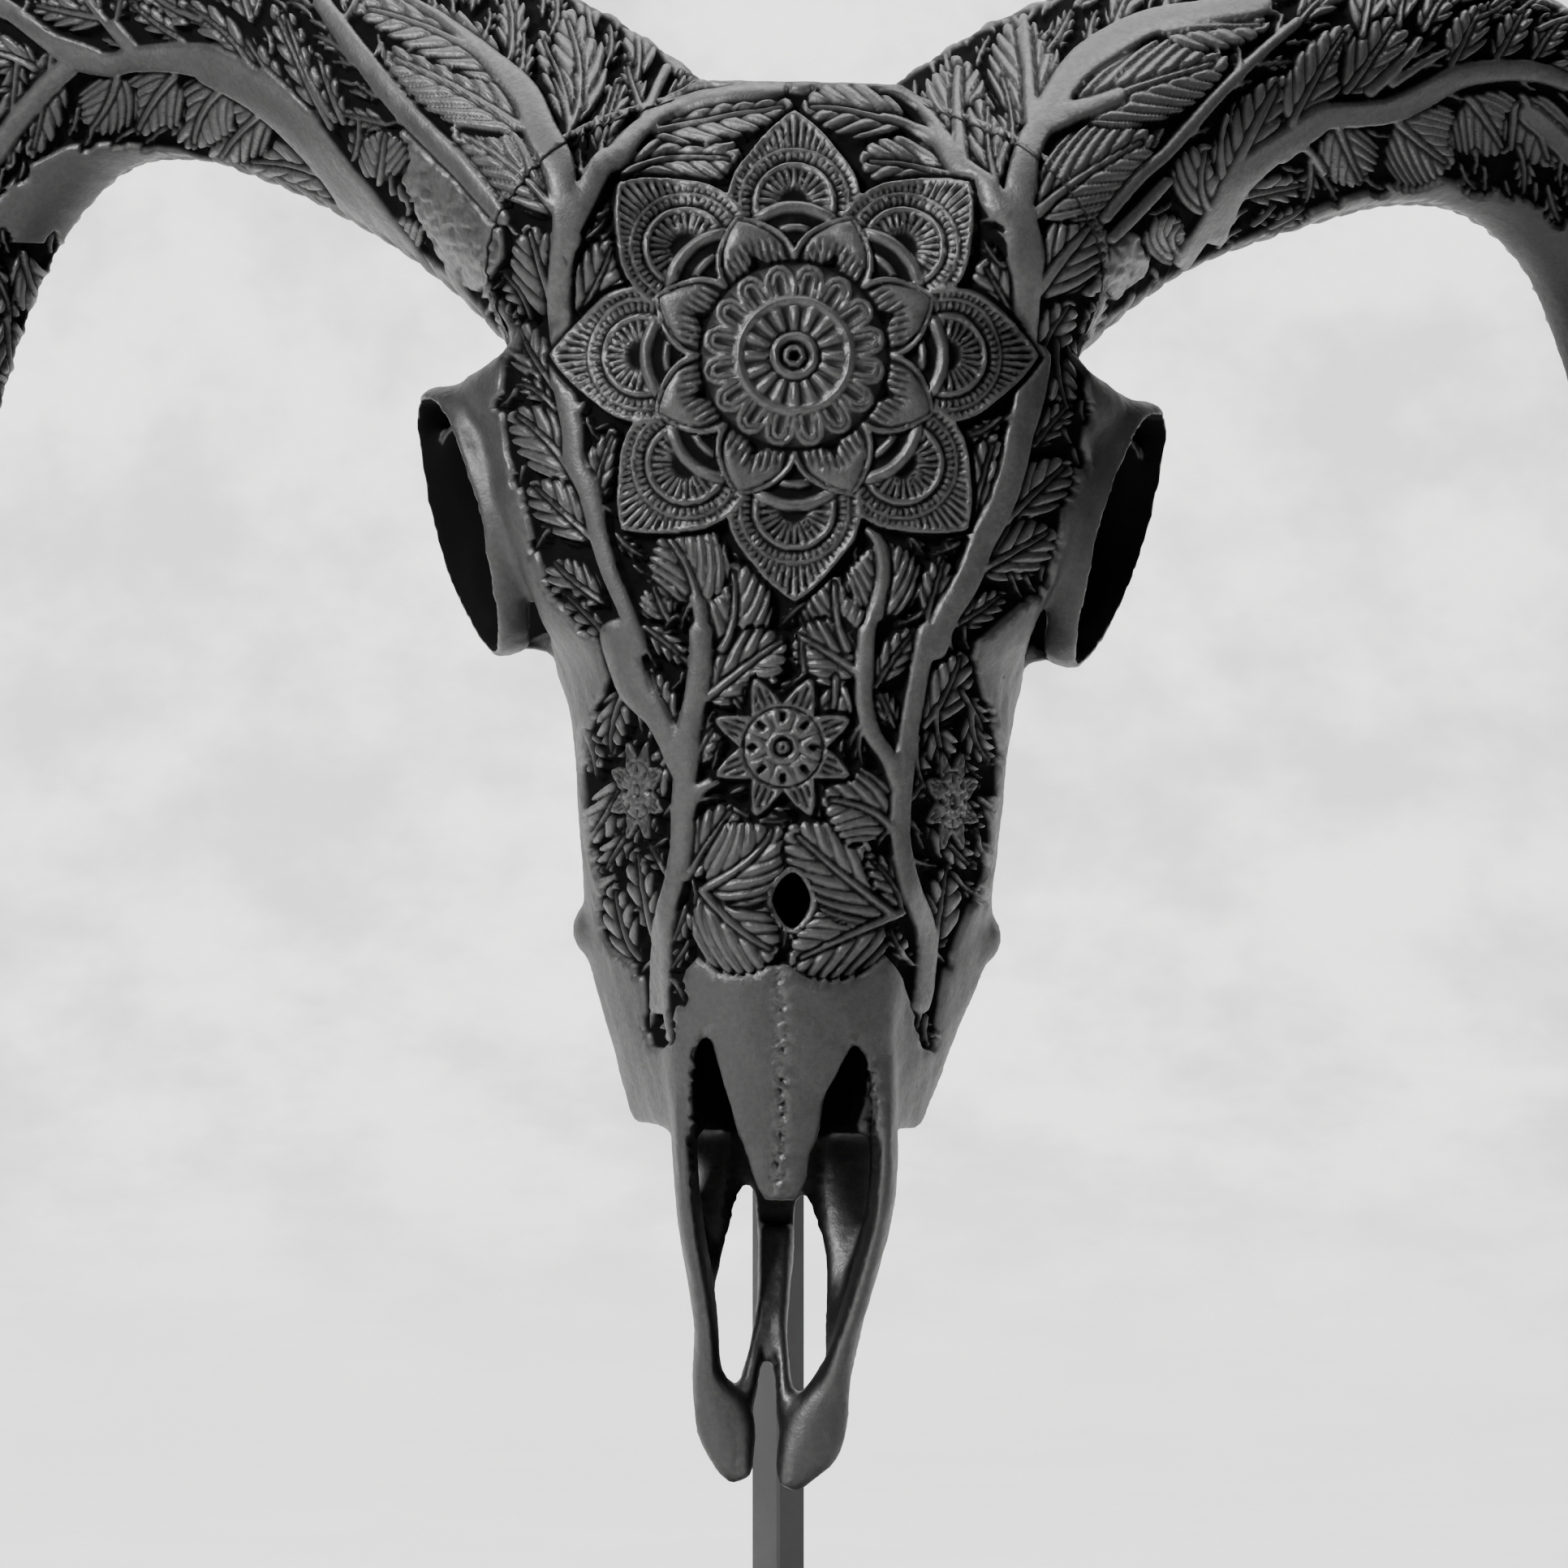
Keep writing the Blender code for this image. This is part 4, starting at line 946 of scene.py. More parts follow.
def mandala_heights(cells, centre):
    """The big flower, from its outer petals in to its hub. Also the distance outside its outline."""
    radius, angle = around_centre(cells, centre)
    height = np.full(radius.shape, GROUND)
    outside = np.full(radius.shape, np.inf)
    for near, turn in eight_round(cells, centre, PETALS_AT):
        turn = (turn + pi) % (2 * pi) - pi
        reach = ogee_outline(turn)
        part = (near < reach) & (radius > PETALS_FROM)
        petal = np.full(near.shape, -1.9)
        petal = lay(petal, near < 7.0, petal_teeth(near, turn, 2.6, 6.9, 26, 0.5))
        petal = lay(petal, near < 2.6, -1.5)
        petal = raised(petal, near, 6.9, 8.0, 1.5)
        petal = lay(petal, (near > 8.5) & (near < 10.1), petal_teeth(near, turn, 8.5, 10.1, 46, 0.6))
        petal = raised(petal, near, 10.1, 10.8, 1.2)
        petal = lay(petal, near > 10.9, petal_teeth(near, turn, 10.9, 40.0, 60, 0.55))
        petal = raised(petal, reach - near, -0.2, 1.1, 1.35, -1.5)
        height = lay(height, part, petal)
        outside = np.minimum(outside, near - reach)
    for near, _ in eight_round(cells, centre, ARCHES_AT):
        part = (near < ARCH_REACH) & (radius > ARCHES_FROM)
        arch = np.full(near.shape, -2.2)
        arch = raised(arch, near, 9.9, 12.2, 1.5, -1.5)
        arch = raised(arch, near, 6.3, 7.8, 1.4, -1.7)
        arch = lay(arch, near < 4.4, -0.45)
        height = lay(height, part, arch)
    turn = sector(angle, 8, 0.5)
    across, out = radius * np.sin(turn), radius * np.cos(turn)
    half = 7.9 * np.clip(1 - ((out - 19.0) / 10.0) ** 2, 0, 1) ** 0.85
    edge = half - np.abs(across)
    part = (edge > -0.4) & (out > 17.0) & (out < 29.2)
    hatch = (across - 0.14 * (out - 18) * np.sign(across)) / 1.45
    hatched = smooth_step(25.0, 23.0, out + np.abs(across) * 0.5)
    groove = np.exp(-(((hatch - np.round(hatch)) * 1.45 / 0.27) ** 2)) * hatched
    petal = -0.55 - 1.0 * groove
    petal = lay(petal, edge < 1.75, -1.5)
    petal = raised(petal, edge, -0.1, 1.15, 1.5)
    petal = lay(petal, edge < 0.0, -2.1)
    height = lay(height, part, petal)

    hub = np.full(radius.shape, -1.7)
    side = radius * sector(angle, 16, 0.5)
    inner = np.where(radius < HUB_ARCHES, np.abs(side), np.hypot(side, np.maximum(radius - HUB_ARCHES, 0)))
    hub = raised(hub, inner, 1.95, 2.75, 1.45 * (radius < 17.9))
    hub = raised(hub, inner, 0.75, 1.55, 1.35 * (radius < 16.9))
    hub = lay(hub, (inner < 0.55) & (radius > 12.4), -2.2)
    hub = lay(hub, inner > 2.75, -1.4)
    spoke = sector(angle, 16, 0.0)
    spoke_half = radius * (pi / 16) * np.interp(radius, (5.0, 9.8), (0.34, 0.44))
    pit = smooth_step(0.0, 0.4, np.abs(radius * spoke) - spoke_half)
    hub = lay(hub, radius < 11.6, -0.25 - 2.1 * pit)
    hub = lay(hub, (radius < 11.7) & (radius > 9.6), -0.9)
    hub = raised(hub, radius, 9.9, 11.5, 1.15, -1.2)
    hub = lay(hub, radius < 5.1, -1.8)
    hub = raised(hub, radius, 2.9, 4.7, 1.55)
    hub = raised(hub, radius, 1.0, 2.2, 1.5)
    hub = lay(hub, radius < 0.9, -2.2)
    hub = lay(hub, radius > 17.9, -1.9)
    height = lay(height, radius < HUB_RADIUS, hub)
    return height, np.minimum(outside, radius - HUB_RADIUS)


def small_flower_heights(cells, centre, size=1.0, stretch=1.0, petals=8):
    """A ringed hub of eight pierced sectors inside a ring of pointed petals with slots."""
    cells = centre + (cells - centre) / (size * np.array([stretch, 1.0]))
    radius, angle = around_centre(cells, centre)
    turn = sector(angle, petals, 0.5)
    across, out = radius * np.sin(turn), radius * np.cos(turn)
    half = 3.3 * np.clip((14.2 - out) / 6.4, 0, 1) ** 0.55
    edge = half - np.abs(across)
    slot = np.exp(-((across / 0.3) ** 2)) + np.exp(-(((np.abs(across) - 1.35) / 0.3) ** 2)) * (out < 11.8)
    petal = -0.5 - 1.2 * slot * (out < 12.6) * (out > 8.4)
    petal = lay(petal, edge < 0.9, -0.35)
    petal = lay(petal, edge < 0.35, -0.9)
    height = np.where(edge > 0, petal, -2.0)
    sector_turn = sector(angle, petals, 0.0)
    side = np.abs(radius * np.sin(sector_turn))
    eye = np.hypot(side / 0.75, (radius - 5.9) / 1.15)
    hub = np.full(radius.shape, -0.3)
    hub = lay(hub, eye < 1, -2.2)
    hub = lay(hub, np.abs(side - radius * np.tan(pi / petals)) < 0.3, -1.6)
    hub = lay(hub, radius > 7.4, -1.9)
    hub = lay(hub, radius < 3.4, -1.7)
    hub = raised(hub, radius, 2.0, 3.3, 1.5)
    hub = raised(hub, radius, 0.4, 1.3, 1.5)
    height = lay(height, radius < 7.9, hub)
    return height, np.where(radius < 8, -1.0, np.maximum(-edge, out - 14.2))


# %% [markdown]
# Each leaf is six numbers for the base, the middle and the tip of its midrib and one for its width. An
# eighth says how far along it is widest, where that isn't half way. All are millimetres on the drawing as it
# is seen from the front, with the nose tip at 0, 0, and were measured in the photo.

# %% Tables of the leaves
LEAVES_OF_THE_BROW = (
    (-44.5, 209.4, -48.6, 215.6, -51.9, 221.8, 7.1), (-44, 221.8, -46.9, 231.4, -49.6, 240.9, 9.1),
    (-40.3, 221.4, -35.9, 229.3, -32.3, 238.2, 7.9, 0.6),
    (-30.1, 251.3, -20.2, 254.3, -8.1, 253.5, 8.9, 0.6), (-25.4, 259.2, -11, 262.4, 2.1, 264.4, 7.5),
    (-23.1, 265, -19.5, 267.1, -16, 269.6, 4.2), (-26.8, 263.4, -28.5, 267.9, -29.7, 272.9, 4.6),
    (-35.1, 255.1, -33, 262.9, -31, 269.6, 5.8), (-41.3, 258.4, -41.8, 264.2, -44.7, 271.2, 3.7),
    (-38.4, 263.8, -39.1, 267.5, -39.7, 271.2, 2.9), (33.3, 253.8, 32.8, 262.9, 33.1, 273.7, 11.6),
    (24, 260.5, 13.6, 263.2, 3.2, 264.4, 8.3), (37.7, 248.6, 26.1, 252.4, 14.2, 253.6, 8.3, 0.6),
    (41, 248, 38.9, 256.7, 39.1, 265.9, 8.3, 0.6), (43.7, 257.5, 43.1, 263.8, 41, 271.2, 4.6),
    (48.5, 212.3, 51.4, 218.9, 56, 225.6, 6.2), (48.5, 227.2, 54.3, 235.5, 61.4, 242.6, 9.1),
    (48.9, 243.8, 56.8, 250.1, 65.5, 254.6, 12.5), (45.2, 219.8, 42.3, 226, 37.7, 233.9, 7.1, 0.6),
)
LEAVES_OF_THE_TEMPLES = (
    (-44.4, 205.5, -49.4, 209.8, -52.9, 210.1, 3.9), (-39.6, 190.5, -46, 199.3, -53.3, 204.8, 9.3),
    (-36.5, 180.2, -43.3, 185.9, -49.5, 191.6, 8.2), (-36.2, 187, -35.5, 194.1, -32.3, 202.1, 5.3),
    (-35.1, 168.5, -41.9, 173.1, -45.3, 176.7, 7.1), (-32.3, 159.7, -38.3, 165.6, -43.3, 170.3, 3.2),
    (-22.3, 165.3, -24.1, 168.8, -25.5, 172.4, 7.1), (-12, 159.7, -9.5, 166.7, -10.2, 176.3, 11.7),
    (-16.6, 168.1, -18.6, 175.2, -23.4, 182.2, 13.5), (12.2, 159.7, 10.1, 166, 9.7, 173.8, 11.7),
    (18.3, 165.6, 19.2, 173.5, 18.3, 180.2, 12.1), (43.2, 183.8, 48.9, 189.5, 55.7, 195.5, 8.2),
    (37.9, 174.5, 45.3, 178.3, 52.4, 182.4, 9.3), (48.5, 198.4, 52.1, 202.6, 55.7, 206.9, 5.3),
    (27.5, 164.9, 29.3, 171.7, 31.1, 177.9, 5.3), (32.9, 163.8, 37.9, 166.7, 43.2, 170.3, 5.3),
    (35.7, 181.3, 37.9, 190.5, 41.1, 200.9, 7.5),
)
LEAVES_OF_THE_NOSE = (
    (-15.2, 150, -5.7, 157.7, 0.5, 161.8, 10.5), (-17.5, 137.3, -14.8, 143.2, -10.5, 147.3, 5.9),
    (-19.1, 115.5, -14.8, 122.7, -9.3, 130, 7.7), (-16.1, 113.6, -9.3, 106.4, -1.1, 101.4, 13.6),
    (-15.2, 114.1, -6.1, 120, -2, 126.4, 13.6), (-19.3, 110.5, -20.7, 106.8, -23, 101.8, 4.5),
    (-18.9, 103.6, -20.7, 100.9, -23, 98.2, 3.2), (-20.7, 143.7, -23.9, 149.6, -26.1, 155.9, 5.5),
    (-26.1, 104.6, -28, 113.6, -29.3, 121.8, 4.5), (-28.4, 100, -31.6, 105.9, -33.4, 115, 5),
    (-23.4, 116.8, -25.2, 119.6, -27.1, 122.7, 3.2), (3.9, 155, 3.4, 159.1, 3.4, 162.8, 4.1),
    (14.6, 155, 8.2, 159.1, 1.9, 162.8, 10.5), (21.4, 144.6, 19.6, 148.7, 18.2, 151.8, 4.5),
    (17.8, 152.3, 21.4, 158.2, 25.5, 163.7, 5.5), (27.3, 144.6, 31.9, 151.4, 34.6, 159.1, 7.7),
    (23.3, 109.1, 12.3, 104.6, 1, 99.5, 11.4), (21.9, 108.6, 11, 116.8, 0.7, 125.7, 12.7),
    (21.7, 124.6, 16, 129.1, 7.3, 130.9, 11.8), (23.3, 109.8, 21.4, 114.6, 16, 120.5, 5),
    (25.5, 99.1, 22.8, 102.7, 21, 106.8, 3.2), (25.1, 130.9, 27.3, 133.7, 29.6, 135.9, 3.6),
    (29.6, 101.4, 31, 110.5, 32.3, 118.2, 5.5),
)
LEAVES_OF_THE_HORNS = (
    (-43, 242.1, -53.2, 252.9, -64.4, 259.2, 10.4), (-50.3, 259.8, -64, 268.1, -77.5, 273.9, 11.2),
    (-51.1, 267.9, -64.8, 277.8, -83.5, 283.6, 8.7), (-40.8, 259.2, -42, 267.9, -46.6, 278.7, 5.4),
    (-40.3, 260.4, -38.7, 271.2, -42, 282.8, 8.3), (-78.1, 247.9, -77.5, 253.3, -76.9, 258.7, 7.9),
    (-72.7, 233, -73.6, 237.1, -75.2, 241.7, 7.1), (-86.4, 260, -91.8, 269.1, -96.4, 283.6, 4.6),
    (-84.8, 259.6, -87.7, 266.2, -90.2, 274.1, 3.7), (-80.9, 240.9, -90.4, 245.7, -99.4, 249.5, 4.3),
    (-83.3, 245.7, -92.8, 250.9, -104.7, 251.9, 8.5), (-98.5, 262.8, -105.1, 257.1, -108.4, 251.4, 9.5),
    (-107, 266.8, -111.8, 261.3, -113.2, 254.2, 10.4), (-117, 268.5, -121.3, 263.2, -124.1, 257.1, 10.4),
    (-127.9, 268.5, -129.8, 262.8, -133.1, 258, 9.5), (-140.2, 274.2, -141.7, 263.7, -144, 252.8, 7.1),
    (-146.9, 271.8, -147.8, 260.9, -148.3, 250.4, 5.2), (-87.1, 258.5, -92.8, 269.4, -98.5, 283.6, 4.3),
    (-92.8, 260.4, -98.5, 268, -105.1, 278.4, 4.3), (-102.3, 269.9, -108, 277.5, -116.5, 283.6, 5.2),
    (-115.6, 275.6, -121.3, 279.4, -126, 283.6, 3.8), (48.5, 226.4, 55.2, 235.1, 61.4, 243, 10.8),
    (48.5, 242.5, 58.9, 251.3, 71.4, 257.9, 13.7), (55.6, 263.3, 69.7, 268.3, 85.5, 272.9, 12.5),
    (72.6, 278.3, 83, 279.5, 93.4, 279.5, 7.5), (46.9, 260.4, 46, 269.9, 44, 281.2, 11.6),
    (82.6, 242.5, 80.5, 247.9, 81.8, 256.2, 9.5), (77.2, 233.4, 74.7, 237.6, 77.2, 240.5, 8.3),
    (84.7, 247.5, 90.9, 258.7, 95.5, 268.3, 10.4), (86.2, 249.5, 90.5, 259.7, 96, 269.6, 6.8),
    (97.7, 259.7, 102.8, 269.6, 108.8, 279.4, 8.5), (108, 265.7, 113.5, 273.4, 118.2, 281.1, 8.5),
    (128, 270.8, 131, 276.4, 134, 283.6, 6.4), (136.6, 272.1, 139.6, 277.2, 142.6, 283.6, 5.1),
    (143.8, 272.5, 146.8, 277.2, 149.7, 281.1, 5.1), (106.3, 259.3, 108.8, 252.9, 111.4, 247.8, 9.8),
    (117.8, 259.7, 122.5, 255.5, 128, 251.2, 14.1), (131.5, 264.4, 134.9, 259.7, 138.3, 253.8, 12.8),
    (141.7, 264.9, 144.3, 258.9, 146.8, 251.2, 10.7),
)

# %% Tables of the stems, and the edge of the carved field
STEMS = (
    ((-41.8, 238, 4.6), (-42, 240.5, 3.9), (-42.2, 246.3, 4.2), (-43.4, 253.4, 4.9), (-46.3, 258.8, 5),
     (-49.2, 265.9, 4.4), (-53.5, 270.8, 3.4), (-59, 276, 2.2), (-66, 281.5, 1.3), (-73, 285.5, 0.8)),
    ((-41.5, 238.9, 3.9), (-40.7, 240.5, 3.3), (-38, 246.3, 3.7), (-34.7, 252.6, 3.8), (-31.4, 254.6, 3.7),
     (-28.1, 258.8, 3.3), (-23.1, 262.9, 2.5), (-18.1, 265, 2.2), (-13.1, 266.3, 2.2), (-4.8, 267.1, 2.1),
     (-0.6, 267.3, 1.9)),
    ((-26.8, 260.9, 1.8), (-24.3, 267.1, 1.7), (-22.2, 271.2, 1.7)),
    ((-41.8, 206.1, 2.9), (-43, 217.3, 3.1), (-43.4, 223.5, 3.5), (-43, 231.8, 3.5), (-41.8, 238.9, 4.2)),
    ((-43.3, 215.4, 3.6), (-42.2, 208.3, 3.4), (-40.8, 201.2, 3.3), (-40.5, 195.5, 3.2), (-38, 190.5, 3.2),
     (-36.5, 185.2, 3.1), (-35.8, 181.6, 3), (-33.7, 174.5, 2.8), (-30.9, 168.1, 2.7), (-28.7, 162.1, 2.6),
     (-28, 159.7, 2.5)),
    ((-41.2, 203.7, 1.8), (-38.3, 207.3, 0.8)),
    ((-17.5, 169.5, 1.1), (-16.3, 168.1, 2.1), (-16, 163.8, 2.1), (-15.9, 159.7, 2.1)),
    ((48.9, 215.4, 4.3), (47.8, 208.3, 4.2), (45.7, 201.2, 4.1), (44.3, 194.1, 4), (41.8, 187, 4),
     (38.2, 179.9, 3.9), (35.4, 172.7, 3.9), (31.1, 165.6, 3.8), (29.3, 159.7, 3.6)),
    ((16.2, 182.4, 1.4), (18.5, 179.5, 2), (19, 172.7, 2.1), (16.5, 163.8, 2.1), (15.8, 159.7, 2.1)),
    ((46.8, 206.1, 3.5), (46.8, 217.3, 3.3), (46.8, 229.7, 4.2), (46.4, 234.7, 5.4), (45.2, 242.2, 5),
     (44.1, 244.7, 4.6)),
    ((43.1, 242.6, 3.7), (40.6, 244.7, 4), (38.5, 248, 3.8), (34.8, 251.3, 3.3), (32.3, 253, 2.9),
     (29, 257.5, 2.2), (25.6, 259.6, 1.7), (22.3, 261.3, 1.2), (19, 262.3, 0.9)),
    ((31.9, 253.8, 2.3), (29.8, 258.8, 2.1), (26.1, 264.2, 1.7), (22.3, 266.7, 1.3), (18.6, 267.9, 1.1)),
    ((33.5, 253, 2.3), (33.1, 260.9, 1.9), (32.9, 267.1, 1.5), (33.1, 271.2, 1.2)),
    ((44.3, 243.8, 4.2), (45.2, 250.5, 4.2), (46.8, 255.9, 4.2), (48.5, 259.2, 3.8), (50.1, 260.9, 3.7),
     (53, 262.1, 3.5), (55.1, 262.9, 3.2), (59.3, 264.2, 2.7), (64.2, 265.9, 2.5)),
    ((47.7, 258.8, 2.1), (46.8, 262.9, 1.7), (46.4, 271.2, 1.6)),
    ((-16.1, 162.8, 3.5), (-16.1, 158.2, 3.5), (-17, 151.4, 3.5), (-18.9, 142.3, 3.5), (-18.9, 137.3, 3.5),
     (-19.8, 130.9, 3.4), (-20.2, 121.8, 3.3), (-21.6, 115, 3.1), (-23, 110.5, 3), (-24.3, 103.6, 2.8),
     (-24.8, 91.5, 2.7)),
    ((-32.1, 161.8, 5.5), (-29.3, 152.3, 5), (-24.3, 145.9, 3.6), (-19.8, 134.6, 2.4)),
    ((-18.6, 128.6, 2.3), (-17, 132.3, 2), (-11.6, 135.5, 1.6)),
    ((27.8, 162.8, 3.1), (25.1, 149.1, 3), (23.3, 135.5, 3), (22.8, 124.1, 3), (24.6, 115, 3),
     (27.8, 105.9, 3), (27.8, 96.8, 2.8), (26.9, 91.5, 2.6)),
    ((16, 162.8, 2.7), (15.5, 155.9, 2.7), (15.5, 149.1, 2.7), (17.3, 143.2, 2.7), (20.1, 139.1, 2.6),
     (22.6, 133.2, 2.5)),
    ((-69.4, 230.5, 2.5), (-79.4, 244.2, 2.5), (-86.4, 252.5, 2.3), (-91.8, 260.4, 2.2), (-97.6, 267, 1.8),
     (-100.1, 269.5, 1.7)),
    ((-54.5, 242.1, 2.5), (-62.8, 252.1, 3.3), (-73.6, 263.3, 3.5), (-81.4, 273.3, 3.3),
     (-88.5, 283.6, 2.9)),
    ((-77.1, 234.3, 3.3), (-83.3, 245.7, 4.4), (-89.5, 254.2, 4.7), (-97.5, 262.8, 5.3),
     (-104.7, 268, 5.6), (-109.4, 270.4, 5.7), (-111.8, 271.8, 5.2), (-118.9, 272.3, 4.3),
     (-125.1, 271.8, 3.8), (-129.3, 270.8, 3.5), (-135.5, 271.8, 3.1), (-140.2, 275.1, 2.9),
     (-145, 278.9, 2.8), (-149.7, 282.7, 2.8)),
    ((-129.8, 270.8, 2.8), (-134.1, 273.2, 2.4), (-139.3, 275.6, 1.9)),
    ((-124.1, 272, 2.4), (-126.5, 275.6, 1.9), (-128.9, 278.9, 1.6)),
    ((-124.1, 272.3, 1.7), (-129.3, 278, 1.3), (-133.6, 283.6, 1.1)),
    ((44.4, 244.6, 4.2), (45.6, 247.1, 4), (46.9, 256.7, 3.8), (48.9, 260.4, 3.8), (51.9, 265.8, 4.2),
     (56.4, 272, 4.6), (62.2, 276.2, 4.6), (68.5, 279.5, 4), (74.7, 281.2, 3.7), (91.3, 283.6, 3.3)),
    ((47.3, 262.1, 2.2), (46.9, 267, 1.9), (46, 277.4, 1.7), (45.6, 281.2, 1.2)),
    ((62.2, 242.1, 1.8), (68.5, 249.6, 2), (74.7, 255.4, 2.1), (83, 265, 2.1), (91.3, 273.7, 1.9),
     (98.3, 279.9, 1.8)),
    ((63.5, 238, 1.7), (68.5, 243, 1.8), (73.9, 248.8, 1.7)),
    ((76.8, 233, 2.3), (83, 242.1, 2.5), (87.1, 247.9, 2.5), (91.3, 252.1, 2.5), (98.3, 257.1, 2.5)),
    ((82.8, 238.4, 3.4), (87, 247.4, 3.6), (93.4, 253.8, 3.8), (99.9, 258, 3.8), (104.1, 261, 3.9),
     (110.5, 261.4, 3.8), (116.9, 262.3, 3.8), (123.3, 265.3, 3.7), (129.7, 268.7, 3.6), (138.3, 270, 3.4),
     (144.7, 269.6, 3.2), (149.7, 267.8, 2.8)),
    ((112.7, 265.7, 1.7), (119.1, 272.1, 1.5), (122.1, 276.4, 1.1)),
    ((116.9, 267.4, 1.5), (122.5, 271.3, 1.4), (127.2, 273.8, 1)),
    ((95.6, 252.9, 1.7), (99.9, 255, 1.5), (103.7, 250.3, 1.1)),
)
FIELD = (
    (-0.2, 99.2), (-5.6, 98.3), (-11.8, 99.2), (-15.2, 102.3), (-18.8, 98.4), (-20.8, 91.5), (-22.9, 82.9),
    (-26.2, 83.7), (-28.1, 97.7), (-30.7, 110), (-34.7, 119.3), (-44.0, 125.5), (-43.0, 134.0),
    (-38.0, 143.0), (-35, 151.9), (-32.2, 159.7), (-38.3, 165.7), (-43.2, 170.3), (-46.5, 173.1),
    (-49, 181.3), (-50.1, 186.9), (-51.5, 192), (-53.6, 196.8), (-54.9, 207.7), (-53.6, 217),
    (-62.9, 229.1), (-75.3, 238.7), (-87.7, 247.1), (-98.6, 251.9), (-107.1, 250.9), (-116.6, 254.2),
    (-126.9, 255.6), (-136.9, 255.1), (-144.5, 251.4), (-149.7, 246.4), (-156, 243), (-151, 237.5),
    (-137, 237), (-137, 150), (-156, 20), (-240, 20), (-240, 320), (-60, 320), (-35, 292.9), (-25.7, 279),
    (-18, 266.9), (19.2, 266.9), (28.5, 277.4), (45.6, 292.9), (70, 320), (244, 320), (244, 20),
    (157.2, 20), (157.2, 237.2), (149.7, 241.3), (138.3, 246.4), (125.4, 249.1), (115.2, 247.4),
    (105.4, 244.4), (92.1, 238.7), (79.7, 232.5), (67.3, 225.5), (58.7, 219.3), (58, 215.4), (58.7, 207.7),
    (57.7, 196.8), (55.6, 192), (54.2, 186.9), (53.3, 181.3), (51.3, 173.1), (47.9, 169.7), (42.9, 165.1),
    (36.3, 159.7), (38.6, 151.9), (41.5, 142.0), (46.0, 134.0), (46.5, 125.5), (40.1, 117.8), (35.5, 108.5),
    (31.3, 97.7), (29.4, 83.7), (26.7, 82.9), (24.6, 91.5), (22, 98.4), (18.4, 102.3), (14.6, 99.2),
    (6.8, 98.3),
)
MANDALA_CENTRE = (2.0, 215.9)
NOSE_FLOWER_CENTRE = (-0.2, 140.9)
SIDE_ROSETTES = ((-28.8, 132.5), (32.9, 130.5))
# Bone at the horn roots that the carver left alone
BARE_PATCHES = (
    ((-74.1, 260), (-62.9, 252.7), (-54.3, 242.7), (-53.6, 234), (-58, 226.6), (-64.2, 229), (-70.4, 240),
     (-75.3, 251.4)),
    ((56.4, 237.2), (67.3, 239.5), (71.1, 237.2), (70.5, 231), (64.2, 225.5), (57.2, 226.3)),
)
# The seam between the nasal bones and the broken edges of the nostrils: points, width, height, depth
CRUMBLY_LINES = (
    (((-0.6, 98.6), (-0.8, 84), (-0.5, 70), (-1.2, 56)), 2.6, 0.55, 0.35),
    (((-15.0, 86.5), (-17.2, 81), (-17.4, 72), (-17.0, 62), (-15.8, 54)), 2.2, 0.5, 0.1),
    (((-9.6, 55), (-10.8, 42), (-11.6, 33), (-11.4, 24), (-10, 15)), 2.6, 0.5, 0.1),
    (((13.8, 84.2), (16.8, 79), (17.2, 68), (17.0, 60)), 2.2, 0.5, 0.1),
    (((7.4, 51), (9.2, 44), (9.6, 33), (8.8, 24), (6.2, 15)), 2.6, 0.5, 0.1),
)

# %% Carve the front
DRAWING_PITCH = 0.2 if FINE else 0.4
RIB_SHARES, RIB_LEAST, RIB_MOST = np.array([0.15, 0.07]), (0.9, 0.45), (1.7, 0.8)
STEM_PLUMPER, LEAF_PLUMPER = 1.4, 1.28
STEP_OF_STEM = 6
USUAL_FULLEST = 0.5
FILLER_LENGTHS = np.array([15.0, 12.0, 9.0, 6.5, 4.6, 3.6])
VINE_SPAN, VINE_WIDTHS = (0.4, 0.93), (4.6, 2.0)
MANDALA_REACH, FLOWER_REACH, ROSETTE_REACH = 49, 15, 12


def carve_leaves(sheet, leaves, plumper=LEAF_PLUMPER):
    """Blades first, and a tapering rib along each that the stems are later joined to."""
    for leaf in leaves:
        *numbers, width, fullest = leaf if len(leaf) == 8 else (*leaf, USUAL_FULLEST)
        line = sheet.leaf(numbers[0:2], numbers[2:4], numbers[4:6], width * plumper, fullest)
        if line is not None:
            sheet.stroke(line[:-3], np.clip(width * RIB_SHARES, RIB_LEAST, RIB_MOST), keep=False)


def on_drawing(points):
    """Millimetres on the front drawing, with the nose tip at 0, 0."""
    pixels = in_photo(points)
    return np.stack([pixels[:, 0] - PHOTO_MIDDLE, NOSE_PIXEL_Y - pixels[:, 1]], axis=1) * MM_PER_PIXEL


def horn_vine(side):
    """The middle of a horn as the drawing sees it, from where the photo ends to near the tip."""
    share, angle = np.linspace(*VINE_SPAN, 60)[:, None], np.zeros((60, 1))
    return on_drawing(horn_points(side, share, angle, scale=CENTRE_LINE).reshape(-1, 3))


def press_flower(sheet, centre, heights, reach, **options):
    """Work a flower out over the cells within reach of its centre and press it into the sheet."""
    part, cells = sheet.window([centre], reach)
    height, outside = heights(cells, np.array(centre), **options)
    sheet.press(part, outside, height, ditch_width=0.9)


